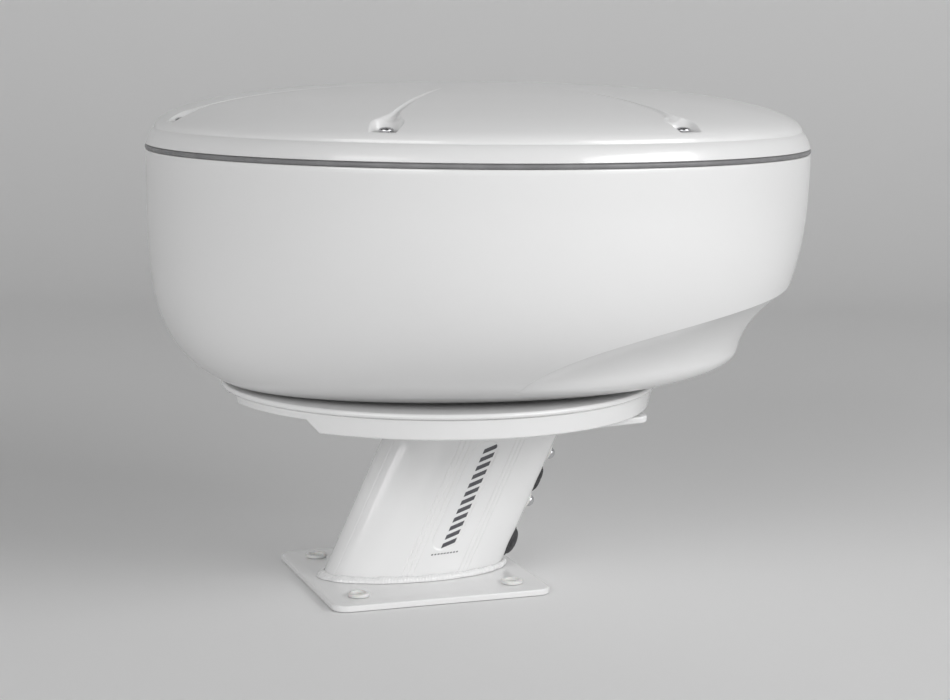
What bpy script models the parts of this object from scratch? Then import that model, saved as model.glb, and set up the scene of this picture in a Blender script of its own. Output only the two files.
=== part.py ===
"""Radar dome antenna on a raked aluminium tower.

A closed-dome marine radar scanner stands on a levelling platform, and the
platform is bolted to a tilted plate welded on top of an oval tower.  Metres,
+Z up.  The bow side of the scanner faces -Y and its port side faces +X.  The
origin lies on the antenna's turning axis, at the deck under the base plate.
"""
import math

import bmesh
import bpy
from mathutils import Vector

GAP = 0.0003                 # clearance between touching pieces

# Radome
SEAM_Z = 0.3463              # middle of the cover gasket
SEAM_R = 0.2604              # outer radius at the gasket
GASKET_T = 0.0034
FLOOR_Z = 0.1658             # underside of the base shell
WALL = 0.0032
RIM_R = 0.212                # inner radius of the base shell's screw flange
RIM_T = 0.005
SEGMENTS = 48                # around the big shells

# Bowl: depth at which it would close, and its exponents across and down
BOW = (0.1991, 4.03, 4.64)
BEAM = (0.1925, 2.69, 3.46)
STERN = (0.2130, 3.55, 2.43)

# Scoop under the stern: an upright oval wall on a rounded lip, flaring out to a crease on the bowl
SCOOP_Y = -0.0300            # middle of the oval
SCOOP_WIDTH = 0.1885         # its half width
SCOOP_LENGTH = 0.2445        # its half length
LIP_H = 0.020
SIDE_LIP_IN = 0.052          # how far the lip draws in at the sides
LIP_IN = 0.075               # and fore and aft
FLARE = 1.7
CREASE_LOW = 0.1811          # height of the crease at its tips
CREASE_RISE = 0.0620         # how much higher it is at the stern
CREASE_FROM = math.radians(80.2)        # angle of its tips from the bow
INNER_STEP_Z = 0.1887        # height of the last inner ring on the wall

# Top cover
CREASE_R = 0.2536            # where the rim band meets the dome
CREASE_Z = SEAM_Z + 0.0144
DOME_H = 0.0353
DOME_POWER = 2.4
COVER_T = 0.0028
SCREWS = 7
SCREW_R = 0.2408
SCREW_START = 4.0            # degrees from the bow to the first screw
SCREW_FLOOR = SEAM_Z + 0.0212
POCKET_R = 0.0095

# Platform between tower and radome
PLATFORM_Y = -0.0320
PLATFORM_R = 0.1732
PLATFORM_TOP = 0.1633
PLATFORM_T = 0.0042
SKIRT_R_TOP = 0.1705
SKIRT_R_LOW = 0.1672
SKIRT_LOW = 0.1432
SKIRT_T = 0.0036
WEB_T = 0.0040
NOTCH_TURN = -6.0            # degrees from the bow to the middle of the notch
NOTCH_LOW = 46.5             # half angle of the notch at the skirt's foot
NOTCH_TOP = 42.6             # half angle where it reaches the flange
SLOT_HALF = 12.8             # half angle of the slot for the front bolt
FLANGE_H = 0.0056
WEDGE_R = 0.084
WAY_R = 0.026                # cable way through the platform

# Tower
TOWER_Y = -0.0538            # centre of the foot
TOWER_A = 0.0745             # half length, fore and aft
TOWER_B = 0.0360             # half width
TOWER_T = 0.0035
TOWER_SEGMENTS = 36
LEAN = 0.463                 # rearward shift for each unit of height
FOOT_T = 0.0051
FOOT_SIZE = 0.177
FOOT_CORNER = 0.012
BUSH_OFFSET = 0.063
TILT = 0.05                  # rise of the top plate towards the stern
TOP_REF_Y = 0.104
TOP_REF_Z = 0.1360           # underside of the top plate at TOP_REF_Y
TOP_T = 0.0052
TOP_HALF = 0.104             # half width of the top plate
TOP_REAR = 0.107             # its stern edge
TOP_SHOULDER = 0.025         # where its sides start to narrow
NOSE_R = 0.052               # its round bow end
NOSE_Y = -0.030
CABLE_R = 0.024              # cable hole up the middle
STRIP_LOW = 0.024            # name strip on the tower's port side
STRIP_HIGH = 0.115
STRIP_HALF = 0.19            # half angle, radians
SEALS = {"upper_cable_seal": (0.0740, 0.0085), "lower_cable_seal": (0.0235, 0.0115)}
SEAL_SCREW_Z = (0.0950, 0.0565)

# Cable gland in the scoop
GLAND_Z = 0.199

# Scanner drive
MODULE = 0.0064 / 3
GEAR_TEETH = 36
PINION_TEETH = 9
GEAR_Z = 0.262
GEAR_T = 0.007
MOTOR_X = MODULE * (GEAR_TEETH + PINION_TEETH) / 2
CHASSIS_Z = 0.1738
CHASSIS_R = 0.100
POST_TOP = 0.256
SPINDLE_R = 0.009
ARRAY_L = 0.400
BOARD_Z = 0.1850
BOARD_T = 0.0016
BOARDS = {"main_board": ((-0.060, -0.165), (0.060, -0.106)),
          "power_board": ((-0.046, 0.106), (0.046, 0.160))}
ARRAY_Z = 0.284
ARRAY_H = 0.046

# Base colour, metallic and roughness of each finish
FINISHES = {
    "gel_coat": ((0.86, 0.87, 0.88, 1), 0.0, 0.22),
    "white_paint": ((0.88, 0.89, 0.90, 1), 0.0, 0.30),
    "cast_aluminium": ((0.55, 0.56, 0.58, 1), 0.9, 0.45),
    "stainless": ((0.70, 0.70, 0.71, 1), 1.0, 0.25),
    "black_rubber": ((0.02, 0.02, 0.02, 1), 0.0, 0.70),
    "grey_rubber": ((0.16, 0.16, 0.17, 1), 0.0, 0.60),
    "nylon": ((0.82, 0.82, 0.80, 1), 0.0, 0.45),
    "dark_strip": ((0.10, 0.10, 0.12, 1), 0.0, 0.40),
    "circuit_green": ((0.02, 0.20, 0.09, 1), 0.0, 0.40),
    "brass": ((0.70, 0.52, 0.22, 1), 1.0, 0.30),
    "black_plastic": ((0.03, 0.03, 0.03, 1), 0.0, 0.50),
    "gear_nylon": ((0.75, 0.72, 0.62, 1), 0.0, 0.50),
}


# ---------------------------------------------------------------- helpers
def clear_scene():
    for item in list(bpy.data.objects):
        bpy.data.objects.remove(item, do_unlink=True)


def finish_material(name, finish):
    colour, metallic, roughness = FINISHES[finish]
    material = bpy.data.materials.new(name)
    material.use_nodes = True
    shader = material.node_tree.nodes["Principled BSDF"]
    shader.inputs["Base Color"].default_value = colour
    shader.inputs["Metallic"].default_value = metallic
    shader.inputs["Roughness"].default_value = roughness
    return material


def add_object(name, mesh, finish, place=(0, 0, 0), parent=None):
    item = bpy.data.objects.new(name, mesh)
    bpy.context.scene.collection.objects.link(item)
    item.location = place
    item.parent = parent
    if finish:
        if not mesh.materials:
            mesh.materials.append(finish_material(name, finish))
    else:
        item.hide_render = True
        item.display_type = 'WIRE'
    return item


def add_empty(name, place):
    item = bpy.data.objects.new(name, None)
    item.location = place
    bpy.context.scene.collection.objects.link(item)
    return item


def mesh_from(bm, name, sharp=35):
    bmesh.ops.recalc_face_normals(bm, faces=bm.faces)
    mesh = bpy.data.meshes.new(name)
    bm.to_mesh(mesh)
    bm.free()
    mesh.shade_smooth()
    mesh.set_sharp_from_angle(angle=math.radians(sharp))
    return mesh


def add_loft(bm, rings, closed=False):
    """Skin a list of point loops; a one-point ring is a pole."""
    rows = [[bm.verts.new(point) for point in ring] for ring in rings]
    pairs = list(zip(rows, rows[1:]))
    if closed:
        pairs.append((rows[-1], rows[0]))
    for low, high in pairs:
        count = max(len(low), len(high))
        for i in range(count):
            j = (i + 1) % count
            corners = [low[i % len(low)], low[j % len(low)], high[j % len(high)], high[i % len(high)]]
            bm.faces.new(list(dict.fromkeys(corners)))
    if not closed:
        for row in (rows[0], rows[-1]):
            if len(row) > 2:
                bm.faces.new(row)


def loft(name, rings, closed=False, sharp=35):
    bm = bmesh.new()
    add_loft(bm, rings, closed)
    return mesh_from(bm, name, sharp)


def circle(radius, z, segments, centre=(0, 0)):
    if radius <= 0:
        return [Vector((centre[0], centre[1], z))]
    turns = [2 * math.pi * i / segments for i in range(segments)]
    return [Vector((centre[0] + radius * math.sin(t), centre[1] - radius * math.cos(t), z))
            for t in turns]


def turned(name, profile, segments=32, closed=False, sharp=35):
    """Body of revolution about Z; profile is (radius, z) from bottom to top."""
    return loft(name, [circle(r, z, segments) for r, z in profile], closed, sharp)


def tube(name, outer, inner, low, high, segments=32):
    return turned(name, [(inner, low), (outer, low), (outer, high), (inner, high)], segments, True)


def add_box(bm, low, high):
    x0, y0, z0 = low
    x1, y1, z1 = high
    add_loft(bm, [[Vector((x, y, z)) for x, y in ((x0, y0), (x1, y0), (x1, y1), (x0, y1))]
                  for z in (z0, z1)])


def boxes(name, pairs):
    bm = bmesh.new()
    for low, high in pairs:
        add_box(bm, low, high)
    return mesh_from(bm, name)


def cylinders(name, items, segments=12):
    """Separate upright cylinders in one mesh: (x, y, radius, low, high)."""
    bm = bmesh.new()
    for x, y, radius, low, high in items:
        add_loft(bm, [circle(radius, z, segments, (x, y)) for z in (low, high)])
    return mesh_from(bm, name)


def boolean(target, mesh, operation, children=()):
    cutter = add_object(f"cut_{mesh.name}", mesh, None)
    for child_mesh, child_operation in children:
        boolean(cutter, child_mesh, child_operation)
    step = target.modifiers.new(mesh.name, 'BOOLEAN')
    step.operation = operation
    step.object = cutter
    return cutter


def polar(radius, degrees, centre=(0, 0)):
    """Point at an angle from the bow, counted towards port."""
    angle = math.radians(degrees)
    return centre[0] + radius * math.sin(angle), centre[1] - radius * math.cos(angle)


def rounded_square(half, corner, z, centre, steps=4):
    points = []
    for quarter in range(4):
        middle = math.radians(45 + 90 * quarter)
        reach = half - corner
        cx = centre[0] + reach * (1 if math.cos(middle) > 0 else -1)
        cy = centre[1] + reach * (1 if math.sin(middle) > 0 else -1)
        for i in range(steps + 1):
            turn = math.radians(90 * quarter + 90 * i / steps)
            points.append(Vector((cx + corner * math.cos(turn), cy + corner * math.sin(turn), z)))
    return points


# ---------------------------------------------------------------- radome shapes
def superellipse(depth, reach, across, down):
    return SEAM_R * max(1 - (max(depth, 0) / reach) ** down, 0) ** (1 / across)


def bowl_radius(angle, z):
    """Horizontal radius of the bowl at an angle from the bow."""
    depth = SEAM_Z - z
    fore = superellipse(depth, *(BOW if math.cos(angle) > 0 else STERN))
    side = superellipse(depth, *BEAM)
    return 1 / math.hypot(math.cos(angle) / fore, math.sin(angle) / side)


def scoop_wall(angle, rise):
    """Distance from the antenna axis to the scoop's oval wall, drawn in over its lower lip."""
    share = max(LIP_H - rise, 0) / LIP_H
    drawn = 1 - math.sqrt(max(1 - share ** 2, 0))
    width = SCOOP_WIDTH - SIDE_LIP_IN * drawn
    length = SCOOP_LENGTH - LIP_IN * drawn
    square = (math.sin(angle) / width) ** 2 + (math.cos(angle) / length) ** 2
    along = math.cos(angle) * SCOOP_Y / length ** 2
    return (math.sqrt(along ** 2 + square * (1 - (SCOOP_Y / length) ** 2)) - along) / square


def crease_height(angle):
    """Height of the edge between bowl and scoop at an angle from the bow."""
    turn = abs(math.remainder(angle, 2 * math.pi))
    share = max(turn - CREASE_FROM, 0) / (math.pi - CREASE_FROM)
    return CREASE_LOW + CREASE_RISE * (1 - (1 - share) ** 3.1) ** (1 / 1.7)


def shell_radius(angle, z):
    """Outer radius of the base shell: the bowl, or the scoop below the crease."""
    bowl = bowl_radius(angle, z)
    crease = crease_height(angle)
    if z >= crease:
        return bowl
    wall = scoop_wall(angle, z - FLOOR_Z)
    if z > CREASE_LOW:
        flare = max(bowl_radius(angle, crease) - scoop_wall(angle, LIP_H), 0)
        wall += flare * ((z - CREASE_LOW) / (crease - CREASE_LOW)) ** FLARE
    return min(bowl, wall)


def shell_ring(z_of_angle, inset=0.0, lift=0.0):
    points = []
    for i in range(SEGMENTS):
        angle = 2 * math.pi * i / SEGMENTS
        z = z_of_angle(angle)
        radius = shell_radius(angle, z - lift) - inset
        points.append(Vector((radius * math.sin(angle), -radius * math.cos(angle), z)))
    return points


def blend(start, end, share):
    return start + (end - start) * share


def base_shell_mesh():
    rim = SEAM_Z - GASKET_T / 2 - GAP
    creases = {round(2 * math.pi * i / SEGMENTS, 6): crease_height(2 * math.pi * i / SEGMENTS)
               for i in range(SEGMENTS)}

    def crease(angle):
        return creases[round(angle, 6)]

    rings = [[Vector((0, 0, FLOOR_Z))]]
    rings.append(shell_ring(lambda a: FLOOR_Z))
    for share in (0.04, 0.12, 0.3, 0.5, 0.75):
        rings.append(shell_ring(lambda a, s=share: blend(FLOOR_Z, crease(a), s)))
    for share in (0.0, 0.1, 0.25, 0.45, 0.7, 1.0):
        rings.append(shell_ring(lambda a, s=share: blend(crease(a), rim, s)))
    rings.append(circle(RIM_R, rim, SEGMENTS))
    rings.append(circle(RIM_R, rim - RIM_T, SEGMENTS))
    under = rim - RIM_T
    inner_floor = FLOOR_Z + WALL
    for share in (0.0, 0.45, 0.75, 0.92):
        rings.append(shell_ring(lambda a, s=share: blend(under, INNER_STEP_Z, s), WALL, WALL))
    for share in (0.45, 0.8, 1.0):
        rings.append(shell_ring(lambda a, s=share: blend(INNER_STEP_Z, inner_floor, s), WALL, WALL))
    rings.append([Vector((0, 0, inner_floor))])
    return loft("base_shell", rings)


def dome_height(radius, drop=0.0):
    edge = CREASE_R - drop
    share = max(1 - (radius / edge) ** DOME_POWER, 0)
    return CREASE_Z + (DOME_H - drop) * math.sqrt(share)


def dome_profile(drop=0.0, shares=(0.9995, 0.99, 0.965, 0.92, 0.84, 0.7, 0.45)):
    edge = CREASE_R - drop
    return [(edge * share, dome_height(edge * share, drop)) for share in shares]


def cover_mesh():
    """Shell of the top cover: up the inside, then down the outside."""
    low = SEAM_Z + GASKET_T / 2 + GAP
    band = [(0.2602, low), (0.2590, SEAM_Z + 0.0060), (0.2571, SEAM_Z + 0.0103)]
    inner = dome_profile(COVER_T, (0.999, 0.96, 0.84, 0.55)) + [(0, dome_height(0, COVER_T))]
    outer = band + dome_profile() + [(0, dome_height(0))]
    inside = [(0.2560, low), (0.2532, SEAM_Z + 0.0090)] + inner
    return turned("top_cover", list(reversed(inside)) + outer, SEGMENTS)


def dome_core_mesh():
    """Solid dome that ends inside the cover's wall."""
    drop = COVER_T / 2
    rings = [(0, SEAM_Z), (CREASE_R - drop, SEAM_Z)] + dome_profile(drop, (0.999, 0.96, 0.84, 0.55))
    rings.append((0, dome_height(0, drop)))
    return turned("dome_core", rings, SEGMENTS)


def screw_angles():
    return [SCREW_START + 360 / SCREWS * i for i in range(SCREWS)]


def pocket_mesh(name, half_width, low, high, outer):
    """Screw pockets with a round inner end, open towards the rim."""
    bm = bmesh.new()
    for degrees in screw_angles():
        outline = [(SCREW_R - half_width * math.sin(math.radians(t)), half_width * math.cos(math.radians(t)))
                   for t in range(0, 181, 30)]
        outline += [(outer, -half_width), (outer, half_width)]
        turn = math.radians(degrees)
        across = Vector((math.cos(turn), math.sin(turn), 0))
        along = Vector((math.sin(turn), -math.cos(turn), 0))
        add_loft(bm, [[along * r + across * w + Vector((0, 0, z)) for r, w in outline] for z in (low, high)])
    return mesh_from(bm, name)


def build_radome(cover_body):
    shell = add_object("base_shell", base_shell_mesh(), "gel_coat")
    inner_floor = FLOOR_Z + WALL
    studs = [(x, y, 0.006, FLOOR_Z + 0.0022, CHASSIS_Z - GAP) for x, y in chassis_screw_places()]
    studs += [(x, y, 0.0085, FLOOR_Z + 0.0022, inner_floor + 0.012) for x, y in radome_bolt_places()]
    studs += [(x, y, 0.003, FLOOR_Z + 0.0022, BOARD_Z - GAP) for x, y in board_support_places()]
    boolean(shell, cylinders("shell_bosses", studs, 12), 'UNION')
    rim = SEAM_Z - GASKET_T / 2
    holes = [(x, y, 0.0022, FLOOR_Z + 0.0030, CHASSIS_Z + 0.01) for x, y in chassis_screw_places()]
    holes += [(x, y, 0.0044, FLOOR_Z - 0.01, inner_floor + 0.008) for x, y in radome_bolt_places()]
    holes += [(*polar(SCREW_R, a), 0.0029, rim - 0.02, rim + 0.01) for a in screw_angles()]
    holes.append((0, 0, CABLE_R, FLOOR_Z - 0.01, inner_floor + 0.0015))
    boolean(shell, cylinders("shell_holes", holes), 'DIFFERENCE')
    boolean(shell, gland_hole_mesh(), 'DIFFERENCE')

    gasket = tube("cover_gasket", SEAM_R + 0.0002, 0.2555, SEAM_Z - GASKET_T / 2,
                  SEAM_Z + GASKET_T / 2, SEGMENTS)
    add_object("cover_gasket", gasket, "grey_rubber")

    cover = add_object("top_cover", cover_mesh(), "gel_coat", parent=cover_body)
    pods = pocket_mesh("pods", POCKET_R + 0.003, SCREW_FLOOR - 0.003, SEAM_Z + 0.08, 0.27)
    boolean(cover, pods, 'UNION', [(dome_core_mesh(), 'INTERSECT')])
    posts = [(*polar(SCREW_R, a), 0.0072, SEAM_Z + GASKET_T / 2 + GAP, SCREW_FLOOR - 0.001)
             for a in screw_angles()]
    boolean(cover, cylinders("cover_posts", posts, 16), 'UNION')
    boolean(cover, pocket_mesh("pockets", POCKET_R, SCREW_FLOOR, SEAM_Z + 0.08, 0.27), 'DIFFERENCE')
    bores = [(*polar(SCREW_R, a), 0.0028, SEAM_Z - 0.01, SCREW_FLOOR + 0.01) for a in screw_angles()]
    boolean(cover, cylinders("cover_bores", bores), 'DIFFERENCE')

    head = SCREW_FLOOR + GAP
    profile = [(0, rim - 0.009), (0.0025, rim - 0.009), (0.0025, head), (0.0052, head),
               (0.0052, head + 0.0014), (0.0036, head + 0.0030), (0, head + 0.0034)]
    screw = turned("cover_screw", profile, 10)
    for i, degrees in enumerate(screw_angles(), 1):
        add_object(f"cover_screw_{i}", screw, "stainless", (*polar(SCREW_R, degrees), 0), cover_body)


def along_y(mesh_name, profile, y, z, segments=16, closed=False):
    """Body of revolution about the fore and aft line at height z."""
    rings = []
    for radius, distance in profile:
        if radius <= 0:
            rings.append([Vector((0, y + distance, z))])
        else:
            turns = [2 * math.pi * (i + 0.5) / segments for i in range(segments)]
            rings.append([Vector((radius * math.sin(t), y + distance, z + radius * math.cos(t)))
                          for t in turns])
    return loft(mesh_name, rings, closed)


def gland_y():
    return shell_radius(math.pi, GLAND_Z)


def gland_hole_mesh():
    return along_y("gland_hole", [(0.0083, -0.03), (0.0083, 0.03)], gland_y(), GLAND_Z)


def build_connections():
    y = gland_y()
    flange = 0.0085
    profile = [(0.0045, -0.018), (0.0079, -0.018), (0.0079, flange), (0.0120, flange), (0.0120, 0.0125),
               (0.0095, 0.0125), (0.0085, 0.0190), (0.0045, 0.0190)]
    add_object("cable_gland", along_y("cable_gland", profile, y, GLAND_Z, closed=True), "black_plastic")
    ring = [(0.0082, -0.0175), (0.0120, -0.0175), (0.0120, -0.0130), (0.0082, -0.0130)]
    add_object("gland_nut", along_y("gland_nut", ring, y, GLAND_Z, closed=True), "black_plastic")


# ---------------------------------------------------------------- scanner inside
def chassis_screw_places():
    return [polar(0.088, degrees) for degrees in (45, 135, 225, 315)]


def radome_bolt_places():
    return [(x, PLATFORM_Y + y) for x in (-0.071, 0.071) for y in (-0.078, 0.122)]


def gear_mesh(name, teeth, bore, low, high, turn):
    """Spur gear; each tooth is a trapezoid, narrow enough to run free."""
    pitch = MODULE * teeth / 2
    root = pitch - 1.3 * MODULE
    tip = pitch + 0.85 * MODULE
    step = 2 * math.pi / teeth
    rim = []
    hole = []
    for i in range(teeth):
        for share, radius in ((-0.30, root), (-0.10, tip), (0.10, tip), (0.30, root)):
            angle = turn + step * (i + share)
            out = Vector((math.cos(angle), math.sin(angle), 0))
            rim.append(out * radius)
            hole.append(out * bore)
    rings = [[point + Vector((0, 0, z)) for point in outline]
             for outline, z in ((hole, low), (rim, low), (rim, high), (hole, high))]
    return loft(name, rings, True)


def build_scanner(spin_body, pinion_body):
    floor = CHASSIS_Z
    profile = [(0.022, floor), (CHASSIS_R, floor), (CHASSIS_R, floor + 0.004), (0.030, floor + 0.004),
               (0.0250, 0.200), (0.0240, 0.245), (0.0240, POST_TOP), (0.0193, POST_TOP),
               (0.0193, 0.240), (0.0150, 0.238), (0.0150, 0.200), (0.0193, 0.198), (0.0193, 0.184)]
    chassis = add_object("scanner_chassis", turned("scanner_chassis", profile, 32, True), "cast_aluminium")
    holes = [(x, y, 0.0028, floor - 0.01, floor + 0.01) for x, y in chassis_screw_places()]
    boolean(chassis, cylinders("chassis_holes", holes, 12), 'DIFFERENCE')
    screw = turned("chassis_screw", [(0, FLOOR_Z + 0.0036), (0.0019, FLOOR_Z + 0.0036),
                                     (0.0019, floor + 0.0043), (0.0045, floor + 0.0043),
                                     (0.0045, floor + 0.0072), (0, floor + 0.0076)], 12)
    for i, (x, y) in enumerate(chassis_screw_places(), 1):
        add_object(f"chassis_screw_{i}", screw, "stainless", (x, y, 0))

    for name, low in (("upper_bearing", 0.2436), ("lower_bearing", 0.1850)):
        add_object(name, tube(name, 0.0189, SPINDLE_R + 2 * GAP, low, low + 0.010, 20), "stainless")

    spindle = [(0.0050, 0.180), (SPINDLE_R, 0.180), (SPINDLE_R, ARRAY_Z - 0.012), (0.0050, ARRAY_Z - 0.012)]
    add_object("antenna_spindle", turned("antenna_spindle", spindle, 20, True), "stainless", parent=spin_body)
    gear = gear_mesh("driven_gear", GEAR_TEETH, SPINDLE_R + GAP, GEAR_Z, GEAR_Z + GEAR_T, 0.0)
    add_object("driven_gear", gear, "gear_nylon", parent=spin_body)
    pinion_turn = math.pi / PINION_TEETH if PINION_TEETH % 2 == 0 else 0.0
    pinion = gear_mesh("motor_pinion", PINION_TEETH, 0.0029, GEAR_Z - 0.001,
                       GEAR_Z + GEAR_T + 0.001, pinion_turn)
    add_object("motor_pinion", pinion, "brass", parent=pinion_body)
    shaft = [(0, 0.238), (0.0026, 0.238), (0.0026, GEAR_Z + GEAR_T + 0.002), (0, GEAR_Z + GEAR_T + 0.002)]
    add_object("motor_shaft", turned("motor_shaft", shaft, 16), "stainless", parent=pinion_body)
    motor = [(0, 0.200), (0.0200, 0.200), (0.0210, 0.201), (0.0210, 0.251), (0.0200, 0.252),
             (0.0110, 0.252), (0.0110, 0.255), (0.0032, 0.255), (0.0032, 0.236), (0, 0.236)]
    add_object("drive_motor", turned("drive_motor", motor, 20), "black_plastic", (MOTOR_X, 0, 0))
    bracket = [(0.0214, 0.1782), (0.0260, 0.1782), (0.0260, 0.2420), (0.0214, 0.2420),
               (0.0214, 0.1990), (0.0120, 0.1990), (0.0120, 0.1960), (0.0214, 0.1960)]
    mount = add_object("motor_mount", turned("motor_mount", bracket, 20, True), "cast_aluminium",
                       (MOTOR_X, 0, 0))
    relief = boxes("mount_relief", [((-0.04, -0.04, 0.17), (-0.0150, 0.04, 0.26))])
    boolean(mount, relief, 'DIFFERENCE').location = (MOTOR_X, 0, 0)
    build_array(spin_body)
    build_electronics()


def build_array(spin_body):
    half = ARRAY_L / 2
    low = ARRAY_Z
    high = low + ARRAY_H
    collar_low = GEAR_Z + GEAR_T + GAP
    shoulder = low - 0.0117
    hub = [(0, shoulder), (SPINDLE_R + GAP, shoulder), (SPINDLE_R + GAP, collar_low), (0.0150, collar_low),
           (0.0150, shoulder), (0.0160, shoulder), (0.0160, low - 0.0050), (0, low - 0.0050)]
    bracket = add_object("array_bracket", turned("array_bracket", hub, 24), "cast_aluminium",
                         parent=spin_body)
    beam = boxes("bracket_beam", [((-0.150, -0.013, low - 0.0065), (0.150, 0.013, low - GAP))])
    boolean(bracket, beam, 'UNION')
    tray = boxes("array_housing", [((-half, -0.018, low), (half, 0.018, high))])
    housing = add_object("array_housing", tray, "cast_aluminium", parent=spin_body)
    wall = 0.002
    hollow = boxes("array_hollow", [((-half + wall, -0.030, low + wall), (half - wall, 0.010, high - wall))])
    boolean(housing, hollow, 'DIFFERENCE')
    inset = 2 * wall
    board = boxes("patch_board", [((-half + inset, -0.008, low + inset),
                                   (half - inset, -0.006, high - inset))])
    add_object("patch_board", board, "circuit_green", parent=spin_body)


def board_support_places():
    return [(x, y) for low, high in BOARDS.values()
            for x in (low[0] + 0.005, high[0] - 0.005) for y in (low[1] + 0.005, high[1] - 0.005)]


def build_electronics():
    for name, (low, high) in BOARDS.items():
        board = boxes(name, [((*low, BOARD_Z), (*high, BOARD_Z + BOARD_T))])
        add_object(name, board, "circuit_green")
    z = BOARD_Z + BOARD_T + GAP
    can = boxes("transceiver_can", [((-0.048, -0.158, z), (0.010, -0.114, z + 0.014))])
    add_object("transceiver_can", can, "stainless")
    sink = add_object("heat_sink", boxes("heat_sink", [((-0.030, 0.114, z), (0.012, 0.152, z + 0.004))]),
                      "cast_aluminium")
    fins = [((-0.030 + 0.0075 * i, 0.114, z + 0.002), (-0.027 + 0.0075 * i, 0.152, z + 0.018))
            for i in range(6)]
    boolean(sink, boxes("sink_fins", fins), 'UNION')
    plug = boxes("power_connector", [((0.020, 0.118, z), (0.036, 0.146, z + 0.011))])
    add_object("power_connector", plug, "black_plastic")


# ---------------------------------------------------------------- platform
def notch_mesh(name, half_low, half_high, low, high, radius_in, radius_out):
    """Sector prism around the bow whose sides slope in with height."""
    bm = bmesh.new()
    rings = []
    for half, z in ((half_low, low), (half_high, high)):
        turns = [NOTCH_TURN - half + 2 * half * i / 12 for i in range(13)]
        ring = [Vector((*polar(radius_out, t, (0, PLATFORM_Y)), z)) for t in turns]
        ring += [Vector((*polar(radius_in, t, (0, PLATFORM_Y)), z)) for t in reversed(turns)]
        rings.append(ring)
    add_loft(bm, rings)
    return mesh_from(bm, name)


def build_platform():
    centre = (0, PLATFORM_Y, 0)
    top = PLATFORM_TOP
    low = top - PLATFORM_T
    mid = (top + low) / 2
    edge = PLATFORM_T / 2
    bull = [(PLATFORM_R - edge * (1 - math.cos(t)), mid + edge * math.sin(t))
            for t in [math.radians(a) for a in (-90, -30, 30, 90)]]
    plate = add_object("mounting_plate",
                       turned("mounting_plate", [(0, low)] + bull + [(0, top)], SEGMENTS),
                       "white_paint", centre)
    skirt_top = low - GAP
    web = skirt_top - WEB_T
    foot = [(SKIRT_R_LOW - SKIRT_T, SKIRT_LOW), (SKIRT_R_LOW - 0.0016, SKIRT_LOW),
            (SKIRT_R_LOW, SKIRT_LOW + 0.0018)]
    profile = [(0, web), (SKIRT_R_TOP - SKIRT_T, web)] + foot + [(SKIRT_R_TOP, skirt_top), (0, skirt_top)]
    skirt = add_object("platform_skirt", turned("platform_skirt", profile, SEGMENTS), "white_paint", centre)
    for target in (plate, skirt):
        way = cylinders(f"cable_way_{target.name}", [(0, 0.0034, WAY_R, 0.10, 0.20)], 24)
        boolean(target, way, 'DIFFERENCE')
    flange = skirt_top - FLANGE_H
    boolean(skirt, notch_mesh("notch", NOTCH_LOW + 1, NOTCH_TOP, SKIRT_LOW - 0.004, flange, 0.145, 0.185),
            'DIFFERENCE').location = (0, 0, 0)
    boolean(skirt, notch_mesh("slot", SLOT_HALF, SLOT_HALF, flange - 0.002, skirt_top + 0.002, 0.156, 0.185),
            'DIFFERENCE')

    wedge_y = tower_centre(TOP_REF_Z)
    rings = []
    for radius, height in ((0.030, "low"), (WEDGE_R, "low"), (WEDGE_R, "high"), (0.030, "high")):
        ring = circle(radius, 0, 32, (0, wedge_y))
        for point in ring:
            point.z = top_plate_under(point.y) + TOP_T + GAP if height == "low" else web - GAP
        rings.append(ring)
    wedge = add_object("levelling_wedge", loft("levelling_wedge", rings, True), "nylon")

    places = wedge_bolt_places()
    through = [(x, y, 0.0034, 0.10, top - 0.0010) for x, y in places]
    for target in (plate, skirt, wedge):
        boolean(target, cylinders(f"wedge_holes_{target.name}", through, 12), 'DIFFERENCE')
    upper = [(x, y, 0.0044, 0.10, top + 0.01) for x, y in radome_bolt_places()]
    for target in (plate, skirt):
        boolean(target, cylinders(f"bolt_holes_{target.name}", upper, 12), 'DIFFERENCE')
    front = polar(0.163, NOTCH_TURN, (0, PLATFORM_Y))
    boolean(plate, cylinders("front_hole", [(*front, 0.0030, 0.10, top - 0.0010)], 12), 'DIFFERENCE')

    bolt = turned("radome_bolt", [(0, web - 0.0063), (0.0065, web - 0.0063), (0.0065, web - GAP),
                                  (0.0040, web - GAP), (0.0040, FLOOR_Z + WALL + 0.007),
                                  (0, FLOOR_Z + WALL + 0.007)], 12)
    for i, (x, y) in enumerate(radome_bolt_places(), 1):
        add_object(f"radome_bolt_{i}", bolt, "stainless", (x, y, 0))
    for i, (x, y) in enumerate(places, 1):
        under = top_plate_under(y) - 0.0006
        profile = [(0, under - 0.0030), (0.0045, under - 0.0030), (0.0058, under - 0.0012), (0.0058, under),
                   (0.0030, under), (0.0030, top - 0.0014), (0, top - 0.0014)]
        add_object(f"wedge_bolt_{i}", turned(f"wedge_bolt_{i}", profile, 10), "stainless", (x, y, 0))
    stud = turned("front_bolt", [(0, low - 0.0052), (0.0040, low - 0.0052), (0.0050, low - 0.0040),
                                 (0.0050, low - GAP), (0.0027, low - GAP), (0.0027, top - 0.0014),
                                 (0, top - 0.0014)], 12)
    add_object("front_bolt", stud, "stainless", (*front, 0))


# ---------------------------------------------------------------- tower
def top_plate_under(y):
    return TOP_REF_Z + TILT * (y - TOP_REF_Y)


def tower_centre(z):
    return TOWER_Y + LEAN * (z - FOOT_T)


def wedge_bolt_places():
    middle = tower_centre(TOP_REF_Z)
    return [(x, middle + y) for x in (-0.058, 0.058) for y in (-0.045, 0.045)]


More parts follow.
